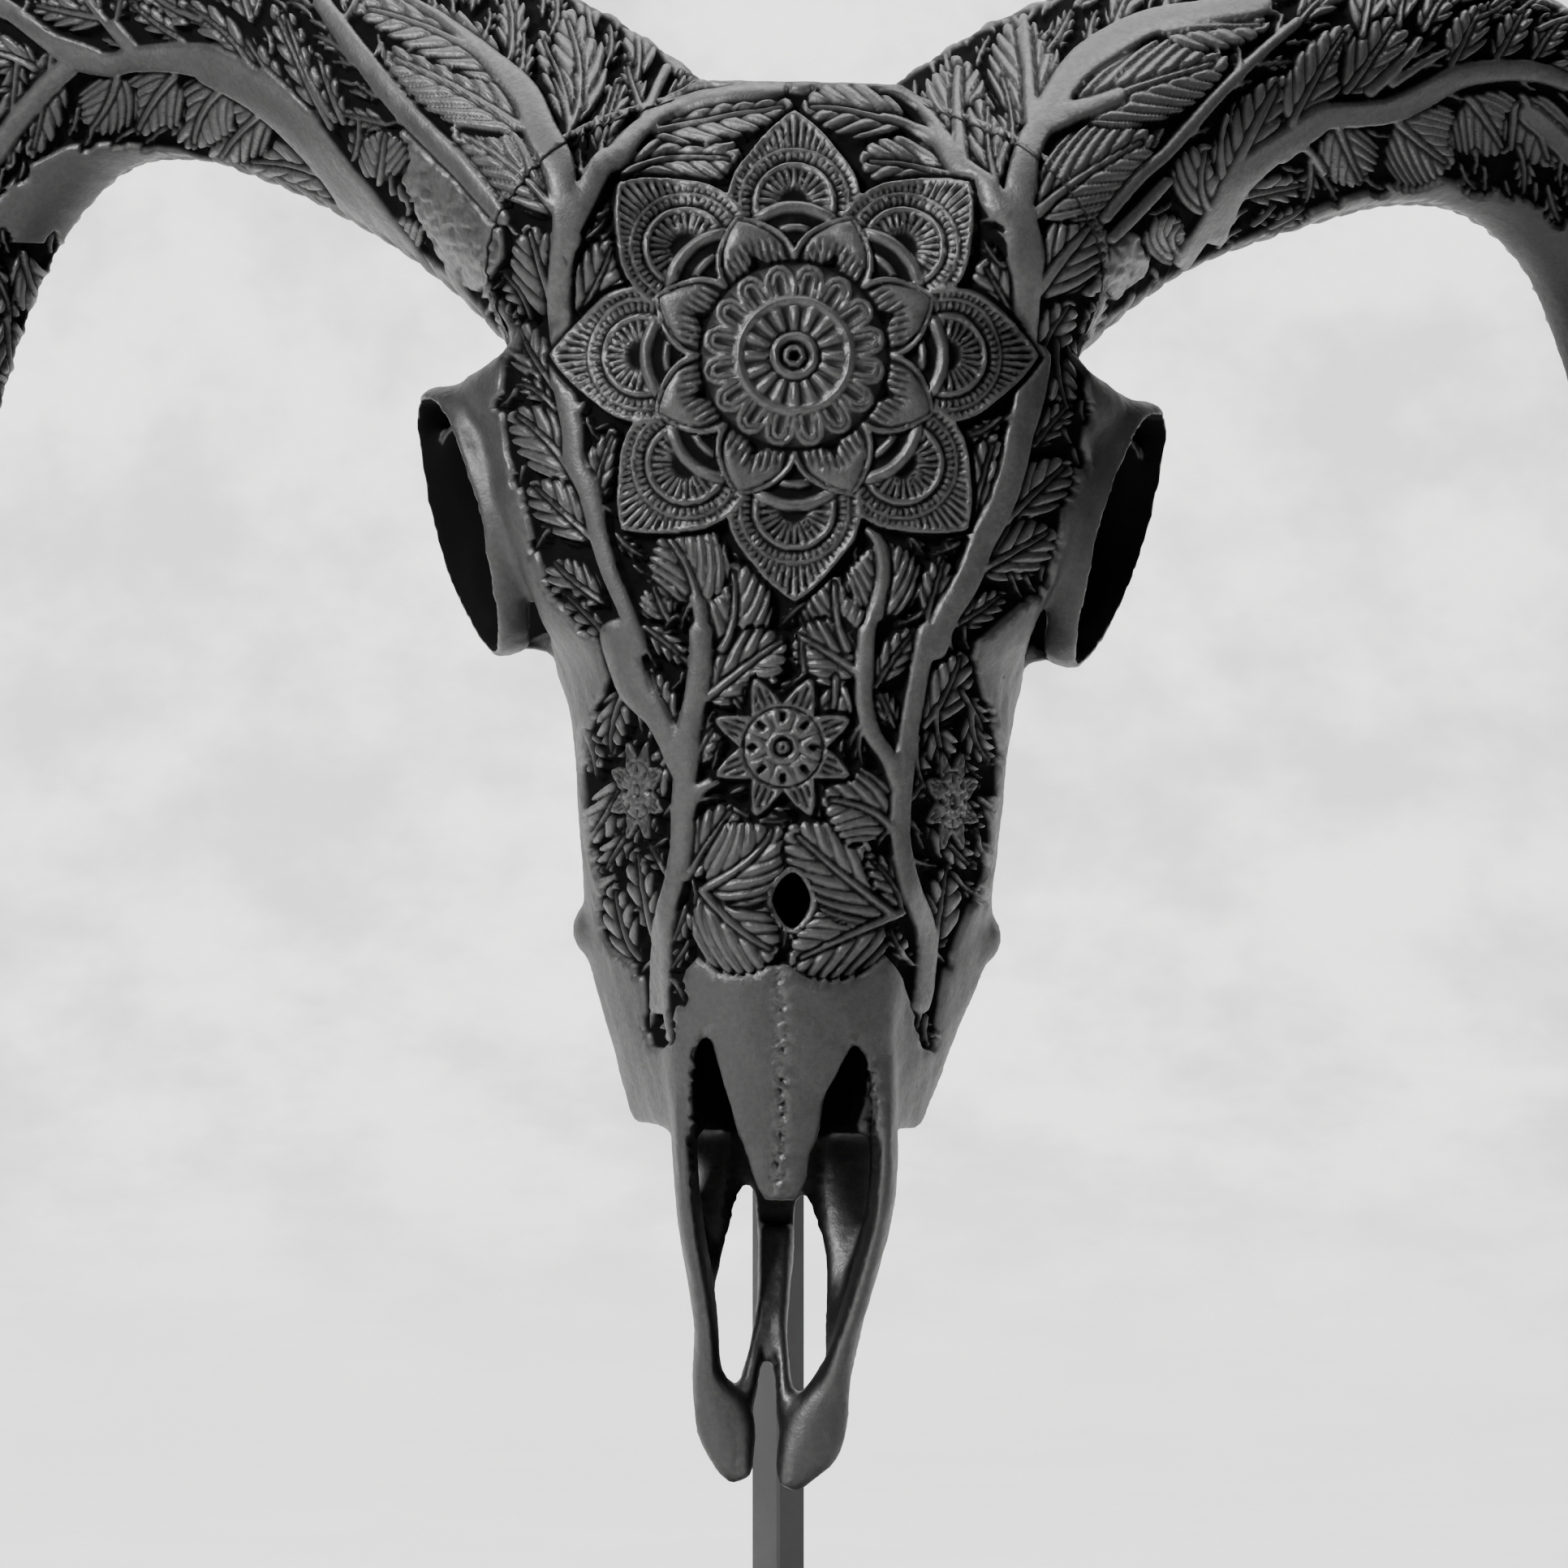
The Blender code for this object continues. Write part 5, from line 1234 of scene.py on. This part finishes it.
def carve_front():
    """The whole drawing, in the order that a carver cuts it: ground, leaves, stems, flowers, broken edges."""
    sheet = Sheet((-236, 12), (239, 316), DRAWING_PITCH)
    sheet.sink_ground(FIELD)
    for outline in BARE_PATCHES:
        part, cells = sheet.window(outline, 2.0)
        inside = inside_polygon(outline, cells)
        sheet.field[part] &= inside < 0
        rough = blurred(np.random.default_rng(3).normal(size=inside.shape), 8)
        bare = -0.45 + 0.3 * np.clip(rough / rough.std(), -2, 1)
        sheet.height[part] += (bare - sheet.height[part]) * smooth_step(-0.2, 0.6, inside)
    for stem in STEMS:
        points = curve_through(stem, STEP_OF_STEM * len(stem))
        sheet.stroke(points[:, :2], points[:, 2] * STEM_PLUMPER)
    for side in SIDES:
        sheet.stroke(horn_vine(side), VINE_WIDTHS)
    sheet.drawn |= sheet.line_gap < 0.2
    part, cells = sheet.window([MANDALA_CENTRE], MANDALA_REACH)
    sheet.drawn[part] |= mandala_heights(cells, np.array(MANDALA_CENTRE))[1] < 0.5
    tables = LEAVES_OF_THE_BROW + LEAVES_OF_THE_TEMPLES + LEAVES_OF_THE_NOSE + LEAVES_OF_THE_HORNS
    gaps = sheet.line_gap.copy()
    carve_leaves(sheet, tables)
    sheet.line_gap = gaps
    fillers = sheet.grow_leaves(seed=5, tries=16000, lengths=FILLER_LENGTHS, plump=0.5, allowed=0.34)
    print("leaves in the gaps:", len(fillers))
    carve_leaves(sheet, fillers, 1.0)
    carve_leaves(sheet, tables)
    sheet.press_strokes()
    for centre in SIDE_ROSETTES:
        press_flower(sheet, centre, small_flower_heights, ROSETTE_REACH, size=0.72, stretch=0.52)
    press_flower(sheet, NOSE_FLOWER_CENTRE, small_flower_heights, FLOWER_REACH)
    press_flower(sheet, MANDALA_CENTRE, mandala_heights, MANDALA_REACH)
    sheet.height = blurred(sheet.height, 1)
    for seed, (line, width, height, sink) in enumerate(CRUMBLY_LINES):
        sheet.roughen(line, width, height, seed, sink)
    return sheet


front_sheet = carve_front()
print("front sheet:", front_sheet.height.shape, "lowest", round(float(front_sheet.height.min()), 2))

# %% [markdown]
# Now the drawing is pressed into the bone. A point of the bone that faces the front looks up its height on
# the front drawing and moves that far along its own normal. The hollows are left alone, and so is what
# turns away from the front. How deep each point went is kept with the mesh, because the paint needs it.
# Painted shade for the face's hollows, the eye sockets and the inner walls of the jaw bars is kept there too,
# as extra depth.

# %% Press a sheet into a surface
FACING = (0.05, 0.34)
CARVE_VOXEL = 0.42 if FINE else 0.9
SKULL_TRIANGLES = 195000 if FINE else 90000
HORN_TRIANGLES = 180000 if FINE else 70000
INSIDE_FACE = (-9.0, -5.0)
INSIDE_CROWN = (-14, -10)
SHADED_HOLLOWS_ABOVE, SHADED_WALLS_BELOW = 66, 70
WALL_SHADE = 0.55
SOCKET_RIM, SOCKET_WALL = (30, 27), (20, 17.5)
PAINTED_SHADE_DEPTH = -2.2
GRAIN_WAVES = ((11, 0.10), (7, 0.07), (4.3, 0.045), (2.9, 0.03), (2.1, 0.02))


def facing_front(points, normals):
    """The cosine between a normal and the way to the camera."""
    places = hung(points) / MM
    ways = hung(points + normals) / MM - places
    return np.einsum("ij,ij->i", ways, unit(np.array([0, CAMERA_Y, CAMERA_Z]) - places))


def eye_socket_shade(points, normals, side):
    """Painted shade in an eye socket: 1 deep in it and where a point near it faces its axis, 0 elsewhere."""
    first = unit(np.array([side * ORBIT_AXIS[0], *ORBIT_AXIS[1:]]))
    gap = points - (side * ORBIT_CENTRE[0], *ORBIT_CENTRE[1:])
    radial = gap - (gap @ first)[:, None] * first
    radius = np.linalg.norm(radial, axis=1)
    inward = -(normals * unit(radial)).sum(axis=1)
    looks_in = smooth_step(*SOCKET_RIM, radius) * smooth_step(0.0, 0.45, inward)
    return np.maximum(looks_in, smooth_step(*SOCKET_WALL, radius)) * (np.abs(gap @ first) < ORBIT_HALF[0])


def keep_depth_and_shade(mesh, depth):
    """Store how deep each point was cut, in mm, and painted shade as extra depth, where a material can read
    it.
    """
    layer = mesh.attributes.new("carved", "FLOAT", "POINT")
    layer.data.foreach_set("value", np.asarray(depth, np.float32))


def triangle_count(mesh):
    return len(mesh.loops) - 2 * len(mesh.polygons)


def thinned(thing, limit):
    """The object with edges collapsed where the surface is flattest, down to a number of triangles."""
    count = triangle_count(thing.data)
    if count > limit:
        modified(thing, "DECIMATE", ratio=limit / count, use_collapse_triangulate=True)
    return thing


def bone_grain(points):
    """Fine unevenness of worn bone: a sum of sine waves in odd directions, up to a tenth of a mm high."""
    height = np.zeros(len(points))
    for turn, (pitch, size) in enumerate(GRAIN_WAVES):
        way = np.array([cos(1.7 * turn), sin(2.3 * turn), cos(0.9 * turn + 1)])
        other = np.array([sin(1.1 * turn), cos(1.9 * turn), sin(2.7 * turn)])
        first, second = (points @ line * 2 * pi / pitch for line in (way, other))
        height += size * np.sin(first) * np.sin(second + turn)
    return height


modified(skull, "REMESH", mode="VOXEL", voxel_size=CARVE_VOXEL)
modified(skull, "SMOOTH", iterations=4, factor=0.5)
bone = points_of(skull.data)
bone_normals = normals_of(skull.data)
bone_outside = outside_face(bone)
bone_facing = facing_front(bone, bone_normals)
outer = np.where(bone[:, 2] > BROW, smooth_step(*INSIDE_CROWN, bone_outside),
                 smooth_step(*INSIDE_FACE, bone_outside))
front_share = smooth_step(*FACING, bone_facing) * outer
depth = front_sheet.read(on_drawing(bone)) * front_share
bone = bone + bone_normals * (depth + bone_grain(bone))[:, None]
move_points(skull.data, bone)
# Painted shade: bone inside the plain face above the nose, in the eye sockets and on the inner walls of the
# jaw bars is stored as a deep cut, which the paint turns near black and matt.
painted_shade = (1 - smooth_step(*INSIDE_FACE, bone_outside)) * (bone[:, 2] > SHADED_HOLLOWS_ABOVE) * (front_share < 0.5)
shaded_inner_walls = smooth_step(0.1, 0.8, -bone_normals[:, 0] * np.sign(bone[:, 0])) * (bone[:, 2] < SHADED_WALLS_BELOW)
painted_shade = np.maximum(painted_shade, WALL_SHADE * shaded_inner_walls)
for side in SIDES:
    painted_shade = np.maximum(painted_shade, eye_socket_shade(bone, bone_normals, side))
keep_depth_and_shade(skull.data, np.minimum(depth, PAINTED_SHADE_DEPTH * painted_shade))
thinned(skull, SKULL_TRIANGLES)
print("carved skull:", triangle_count(skull.data), "triangles")

# %% [markdown]
# A horn sheath is hollow at its root, where it sits on the bony core. Its surface is one grid: the socket's
# wall, the rim, and the outside to the tip. Where nobody carved it, a horn keeps the rings it grew by.

# %% The two horns
HORN_ROWS = 900 if FINE else 360
HORN_COLUMNS = 440 if FINE else 200
SOCKET_ROWS = 24
ROWS_CROWD = 1.15
CARVING_ENDS = (0.97, 0.92)
HORN_CARVING = 0.85
RING_PITCH, WRINKLE_PITCH = 8.5, 3.1
SOCKET_SHADE, PLAIN_HORN_SHADE = -2.5, -1.2


def grid_normals(points):
    """Unit normals of a grid whose columns close: the cross product of its two slopes."""
    down = np.gradient(points, axis=0)
    round_it = np.roll(points, -1, axis=1) - np.roll(points, 1, axis=1)
    return unit(np.cross(round_it, down))


def growth_rings(run, angle):
    """Wrinkles across the horn, sharp at their crests, that crowd and fade towards the tip."""
    bend = run + 3.0 * np.cos(angle - 0.6) + 1.4 * np.sin(2 * angle)
    wave = np.abs(np.sin(bend * pi / RING_PITCH)) ** 0.7 + 0.35 * np.abs(np.sin(bend * pi / WRINKLE_PITCH))
    return -0.75 * wave * smooth_step(400, 250, run) - 0.15


def build_horn(side):
    """One horn. Its rows crowd towards the root, and its carving fades out just short of the tip."""
    share, angle = np.meshgrid(np.linspace(0, 1, HORN_ROWS), turns(HORN_COLUMNS)[:, 0] - pi, indexing="ij")
    share = share**ROWS_CROWD
    outer = horn_points(side, share, angle)
    normals = grid_normals(outer)
    away = outer - horn_points(side, share, angle, scale=CENTRE_LINE)
    normals = normals * np.sign((normals * away).sum(axis=-1, keepdims=True))
    flat = outer.reshape(-1, 3)
    facing = facing_front(flat, normals.reshape(-1, 3)).reshape(share.shape)
    run = share * HORN[side]["length"]
    front = smooth_step(*FACING, facing) * smooth_step(*CARVING_ENDS, share)
    drawn = front_sheet.read(on_drawing(flat)).reshape(share.shape)
    bare = growth_rings(run, angle) * (1 - front)
    depth = HORN_CARVING * drawn * front + bare * smooth_step(2, 8, run)
    outer = outer + normals * (depth + bone_grain(flat).reshape(share.shape) * 0.6)[..., None]
    deep, turn = np.meshgrid(np.linspace(CORE_REACH + 0.01, 0, SOCKET_ROWS), angle[0], indexing="ij")
    inner = horn_points(side, deep, turn, scale=CORE_SCALE)
    points, faces = skin(np.concatenate([inner, outer]))
    horn = mesh_object(f"ram_horn_{SIDES[side]}", points, faces)
    # Painted shade: a band at the root's rim and the socket's wall are stored as deep cuts, which the paint
    # turns near black
    horn_depth_and_shade = np.minimum(depth, PLAIN_HORN_SHADE * smooth_step(0.7, 0.2, run))
    depths = np.concatenate([np.full(inner.size // 3, SOCKET_SHADE), horn_depth_and_shade.ravel(), [SOCKET_SHADE, 0.0]])
    keep_depth_and_shade(horn.data, depths)
    return thinned(horn, HORN_TRIANGLES)


horns = {side: build_horn(side) for side in SIDES}
print("horns:", [triangle_count(horn.data) for horn in horns.values()], "triangles")

# %% [markdown]
# The cheek teeth can be seen only from below and behind. A sheep's molar is fluted along its sides and its
# worn crown shows crescents, so each ring of the tooth is pinched twice and the crown is dished.

# %% The twelve cheek teeth
TOOTH_ROWS = 26
TOOTH_COLUMNS = 72
CROWN_RINGS = (0.93, 0.8, 0.62, 0.45, 0.25)


def build_tooth(number, side):
    """Rounded boxes from root to crown, 0.955 + 0.045 cos 4 turn as wide at the flutes, the crown dished."""
    root = np.array(on_cheek([TOOTH_ROOTS[number]], side)[0])
    row, crown, across = tooth_axes(side)
    levels = np.linspace(-TOOTH_ROOT_DEPTH, TOOTH_CROWN, TOOTH_ROWS)
    shares = np.interp(levels, *zip(*TOOTH_LEVELS))
    turn = turns(TOOTH_COLUMNS)[:, 0]
    long = boxed(np.cos(turn), TOOTH_SQUARENESS) * (TOOTH_LENGTHS[number] / 2 - GAP / 2)
    wide = boxed(np.sin(turn), TOOTH_SQUARENESS) * TOOTH_WIDTHS[number] / 2
    wide = wide * (0.955 + 0.045 * np.cos(4 * turn))
    rings = [root + crown * level + share * (long[:, None] * row + wide[:, None] * across)
             for level, share in zip(levels, shares)]
    for draw_in in CROWN_RINGS:
        cusp = 0.55 * np.cos(4 * turn)[:, None] * draw_in - 1.3 * (1 - draw_in)
        centre = root + crown * TOOTH_CROWN
        rings.append(centre + (rings[TOOTH_ROWS - 1] - centre) * draw_in + crown * (cusp - 0.6))
    return mesh_object(f"cheek_tooth_{SIDES[side]}_{number + 1}", *skin(rings))


teeth = {f"tooth_{SIDES[side]}_{number + 1}": build_tooth(number, side)
         for side in SIDES for number in range(len(TOOTH_ROOTS))}
print("teeth:", len(teeth), "of", triangle_count(next(iter(teeth.values())).data), "triangles")

# %% [markdown]
# Paint on carved work is never one tone. The cuts get a painted shade, near black and matt, and the raised
# work a painted highlight, a dark, slightly shiny grey. The depth that was kept with the mesh drives both.
# Shader maths reads best as plain expressions, so a small class adds the Math nodes.

# %% Expressions that build shader nodes
class Wire:
    """A value socket that arithmetic works on: each operation adds a Math node to the material."""

    def __init__(self, paint, socket):
        self.paint, self.socket = paint, socket

    def _math(self, operation, first, second):
        return self.paint.node("ShaderNodeMath", {"operation": operation}, {0: first, 1: second})

    def __add__(self, other):
        return self._math("ADD", self, other)

    def __sub__(self, other):
        return self._math("SUBTRACT", self, other)

    def __rsub__(self, other):
        return self._math("SUBTRACT", other, self)

    def __mul__(self, other):
        return self._math("MULTIPLY", self, other)

    __radd__ = __add__
    __rmul__ = __mul__


class Paint:
    """A material and the nodes that make its finish."""

    def __init__(self, name):
        self.material = bpy.data.materials.new(name)
        self.material.use_nodes = True
        self.tree = self.material.node_tree
        self.shader = self.tree.nodes["Principled BSDF"]

    def fill(self, node, inputs):
        for key, value in inputs.items():
            if isinstance(value, Wire):
                self.tree.links.new(value.socket, node.inputs[key])
            else:
                node.inputs[key].default_value = value

    def node(self, kind, settings=None, inputs=None, output=0):
        """Any node: its settings first, then its sockets' values or links. A ramp's stops are a setting."""
        node = self.tree.nodes.new(kind)
        for key, value in (settings or {}).items():
            if key == "stops":
                while len(node.color_ramp.elements) < len(value):
                    node.color_ramp.elements.new(1.0)
                for stop, (place, level) in zip(node.color_ramp.elements, value):
                    stop.position = place
                    stop.color = (level, level, level, 1)
            else:
                setattr(node, key, value)
        self.fill(node, inputs or {})
        return Wire(self, node.outputs[output])

    def surface(self, **inputs):
        self.fill(self.shader, {key.replace("_", " "): value for key, value in inputs.items()})
        return self.material

    def painted_shade_matt(self, share, tone):
        """Swap the finish for a dead matt tone, the painted shade in the cuts, by a share from 1 (all finish)
        to 0 (all matt).
        """
        matt = self.node("ShaderNodeBsdfPrincipled", {}, {"Base Color": tone, "Roughness": 1.0,
                                                          "Specular IOR Level": 0.03})
        finish = Wire(self, self.shader.outputs[0])
        mixed = self.node("ShaderNodeMixShader", {}, {0: share, 1: matt, 2: finish})
        self.tree.links.new(mixed.socket, self.tree.nodes["Material Output"].inputs["Surface"])

    def place(self):
        """Where a point lies, in metres of the object's own space."""
        return self.node("ShaderNodeTexCoord", output=3)

    def noise(self, place, scale, detail, roughness):
        return self.node("ShaderNodeTexNoise", {}, {"Vector": place, "Scale": scale, "Detail": detail,
                                                    "Roughness": roughness})

    def ramp(self, value, *stops):
        return self.node("ShaderNodeMapRange", {"interpolation_type": "SMOOTHSTEP"},
                         {"Value": value, "From Min": stops[0], "From Max": stops[1], "To Min": stops[2],
                          "To Max": stops[3]})

    def bump(self, height, strength, distance):
        return self.node("ShaderNodeBump", {}, {"Strength": strength, "Distance": distance, "Height": height})

    def blend(self, share, first, second):
        """A colour between two others."""
        return self.node("ShaderNodeMix", {"data_type": "RGBA"}, {0: share, 6: first, 7: second}, output=2)


# Depths in mm over which the painted shade in the cuts gives way to the painted highlight, and over which
# the highlight on carved work falls to half on plain bone
CUT_SHADE_TO_HIGHLIGHT = (-1.5, -0.5)
WORK_TO_PLAIN = (-0.2, -0.02)
PAINTED_SHADE_IN_CUTS = (0.002, 0.002, 0.002, 1)


def carved_paint(name, highlight_tone, shade_tone, shine):
    """Satin black over carved work. Height in the carving, from 0 in the ground to 1 on top, mixes the
    painted shade in the cuts with the painted highlight on raised work. Plain bone gets half the highlight,
    and two noises break it all up."""
    paint = Paint(name)
    place = paint.place()
    carved = paint.node("ShaderNodeAttribute", {"attribute_name": "carved"}, output=2)
    # 0 in the cuts, where the painted shade goes, to 1 on raised work, where the painted highlight goes
    height = paint.ramp(carved, *CUT_SHADE_TO_HIGHLIGHT, 0.0, 1.0)
    blotch = paint.noise(place, 95.0, 5.0, 0.6)
    speck = paint.noise(place, 900.0, 3.0, 0.6)
    share = height * paint.ramp(blotch, 0.3, 0.65, 0.6, 1.0) * paint.ramp(speck, 0.35, 0.65, 0.6, 1.0)
    share = share * paint.ramp(carved, *WORK_TO_PLAIN, 1.0, 0.5)
    colour = paint.blend(share, shade_tone, highlight_tone)
    roughness = 0.62 - share * shine + paint.ramp(blotch, 0.3, 0.7, -0.05, 0.05)
    relief = paint.noise(place, 420.0, 6.0, 0.62) * 0.7 + paint.noise(place, 1700.0, 2.0, 0.5) * 0.3
    bump = paint.bump(relief, 0.6, 0.0003)
    # Painted shade: the cuts take a matt, near-black finish in place of the satin one
    paint.painted_shade_matt(height, shade_tone)
    return paint.surface(Base_Color=colour, Roughness=roughness, Normal=bump, Specular_IOR_Level=0.4)


def powder_coat(name, tone, shine):
    """Powder paint on steel: an even orange-peel skin, a little lighter in a few worn places."""
    paint = Paint(name)
    place = paint.place()
    peel = paint.noise(place, 1500.0, 2.0, 0.4)
    rub = paint.noise(place, 40.0, 4.0, 0.6)
    colour = paint.blend(paint.ramp(rub, 0.45, 0.75, 0.0, 1.0), tone, tuple(1.6 * t for t in tone[:3]) + (1,))
    bump = paint.bump(peel, 0.25, 0.00008)
    return paint.surface(Base_Color=colour, Roughness=shine + 0.1 * rub, Normal=bump)


# Each paint: the painted highlight tone of its raised work, the painted shade tone of its cuts, and its shine
bone_paint = carved_paint("satin_black_on_bone", (0.026, 0.0258, 0.0256, 1), PAINTED_SHADE_IN_CUTS, 0.26)
horn_paint = carved_paint("satin_black_on_horn", (0.024, 0.0238, 0.0236, 1), PAINTED_SHADE_IN_CUTS, 0.26)
tooth_paint = carved_paint("satin_black_on_enamel", (0.022, 0.0218, 0.0216, 1), (0.004, 0.004, 0.004, 1), 0.3)
steel_paint = powder_coat("black_powder_coat", (0.014, 0.014, 0.0145, 1), 0.42)

# %% [markdown]
# Every piece is hung from the same lean, given its finish and tied to the frame's one body. The steel stand
# is plain bar and plate and its shape is right in the frame, so those solids stay and only take the coat.

# %% Hang the pieces
def coat(thing, material):
    thing.data.materials.clear()
    thing.data.materials.append(material)


def hang(piece, node, material):
    """Move a piece from the skull's millimetres to its place in the world, coat it, tie it to the body and
    hide the frame's node that it stands for.
    """
    move_points(piece.data, hung(points_of(piece.data)))
    coat(piece, material)
    shade_smooth(piece.data)
    piece.data.update()
    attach(piece, "root")
    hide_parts(node)


hang(skull, "skull", bone_paint)
for side, horn in horns.items():
    hang(horn, f"horn_{SIDES[side]}", horn_paint)
for node, tooth in teeth.items():
    keep_depth_and_shade(tooth.data, np.zeros(len(tooth.data.vertices)))
    hang(tooth, node, tooth_paint)
for node in ("stand_base", "stand_post", "stand_pin"):
    coat(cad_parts[node], steel_paint)

# %% [markdown]
# The photo was taken against a pale wall, in light that falls from the upper left. A wide, pale sweep takes
# the place of the wall and the shelf. One lamp does the work of the window, a wide and weak one on the
# right keeps the shadow side readable, and a third lights the wall.

# %% Stage and light
def build_sweep():
    """A floor that bends up into a wall: straight, quarter circle and straight, drawn out sideways."""
    turn = np.linspace(0, pi / 2, 24)
    radius, back, front, top, half_width = 0.7, 1.1, -4.5, 3.5, 5.0
    bend = np.stack([back + radius * np.sin(turn), radius - radius * np.cos(turn)], axis=1)
    profile = np.concatenate([[(front, 0)], bend, [(back + radius, top)]])
    grid = np.stack([[(x, y, z) for y, z in profile] for x in (-half_width, half_width)])
    count = len(profile)
    here = np.arange(count - 1)
    faces = np.stack([here, here + 1, count + here + 1, count + here], axis=1)
    return mesh_object("pale_sweep", grid.reshape(-1, 3), faces[:, ::-1])


def sweep_material():
    paint = Paint("pale_wall")
    place = paint.place()
    cloud = paint.noise(place, 11.0, 4.0, 0.6)
    height = paint.node("ShaderNodeSeparateXYZ", {}, {"Vector": place}, output=2)
    share = 0.5 + (paint.ramp(cloud, 0.36, 0.64, 0.0, 1.0) - 0.5) * paint.ramp(height, 0.0, 0.12, 0.1, 1.0)
    colour = paint.blend(share, (0.58, 0.58, 0.58, 1), (0.88, 0.88, 0.87, 1))
    return paint.surface(Base_Color=colour, Roughness=0.9)


def area_light(name, place, target, size, power):
    """A square lamp of a size in metres and a power in watts, turned to face its target."""
    lamp = bpy.data.objects.new(name, bpy.data.lights.new(name, "AREA"))
    bpy.context.scene.collection.objects.link(lamp)
    lamp.data.size, lamp.data.energy = size, power
    lamp.location = place
    way = np.array(target) - place
    turn = np.arctan2(way[1], way[0]) - pi / 2
    lamp.rotation_euler = (np.arctan2(np.hypot(way[0], way[1]), -way[2]), 0, turn)


sweep = build_sweep()
coat(sweep, sweep_material())
shade_smooth(sweep.data)
FACE = (0, -0.06, 0.27)
area_light("window", (-0.95, -1.05, 1.1), FACE, 0.42, 80)
area_light("room", (1.5, -1.0, 0.7), FACE, 1.2, 3)
area_light("wall_wash", (0, 0.5, 2.2), (0, 1.7, 0.5), 1.8, 110)
world = bpy.data.worlds.new("studio")
bpy.context.scene.world = world
world.use_nodes = True
sky = world.node_tree.nodes["Background"].inputs
sky["Color"].default_value = (1, 1, 1, 1)
sky["Strength"].default_value = 0.13
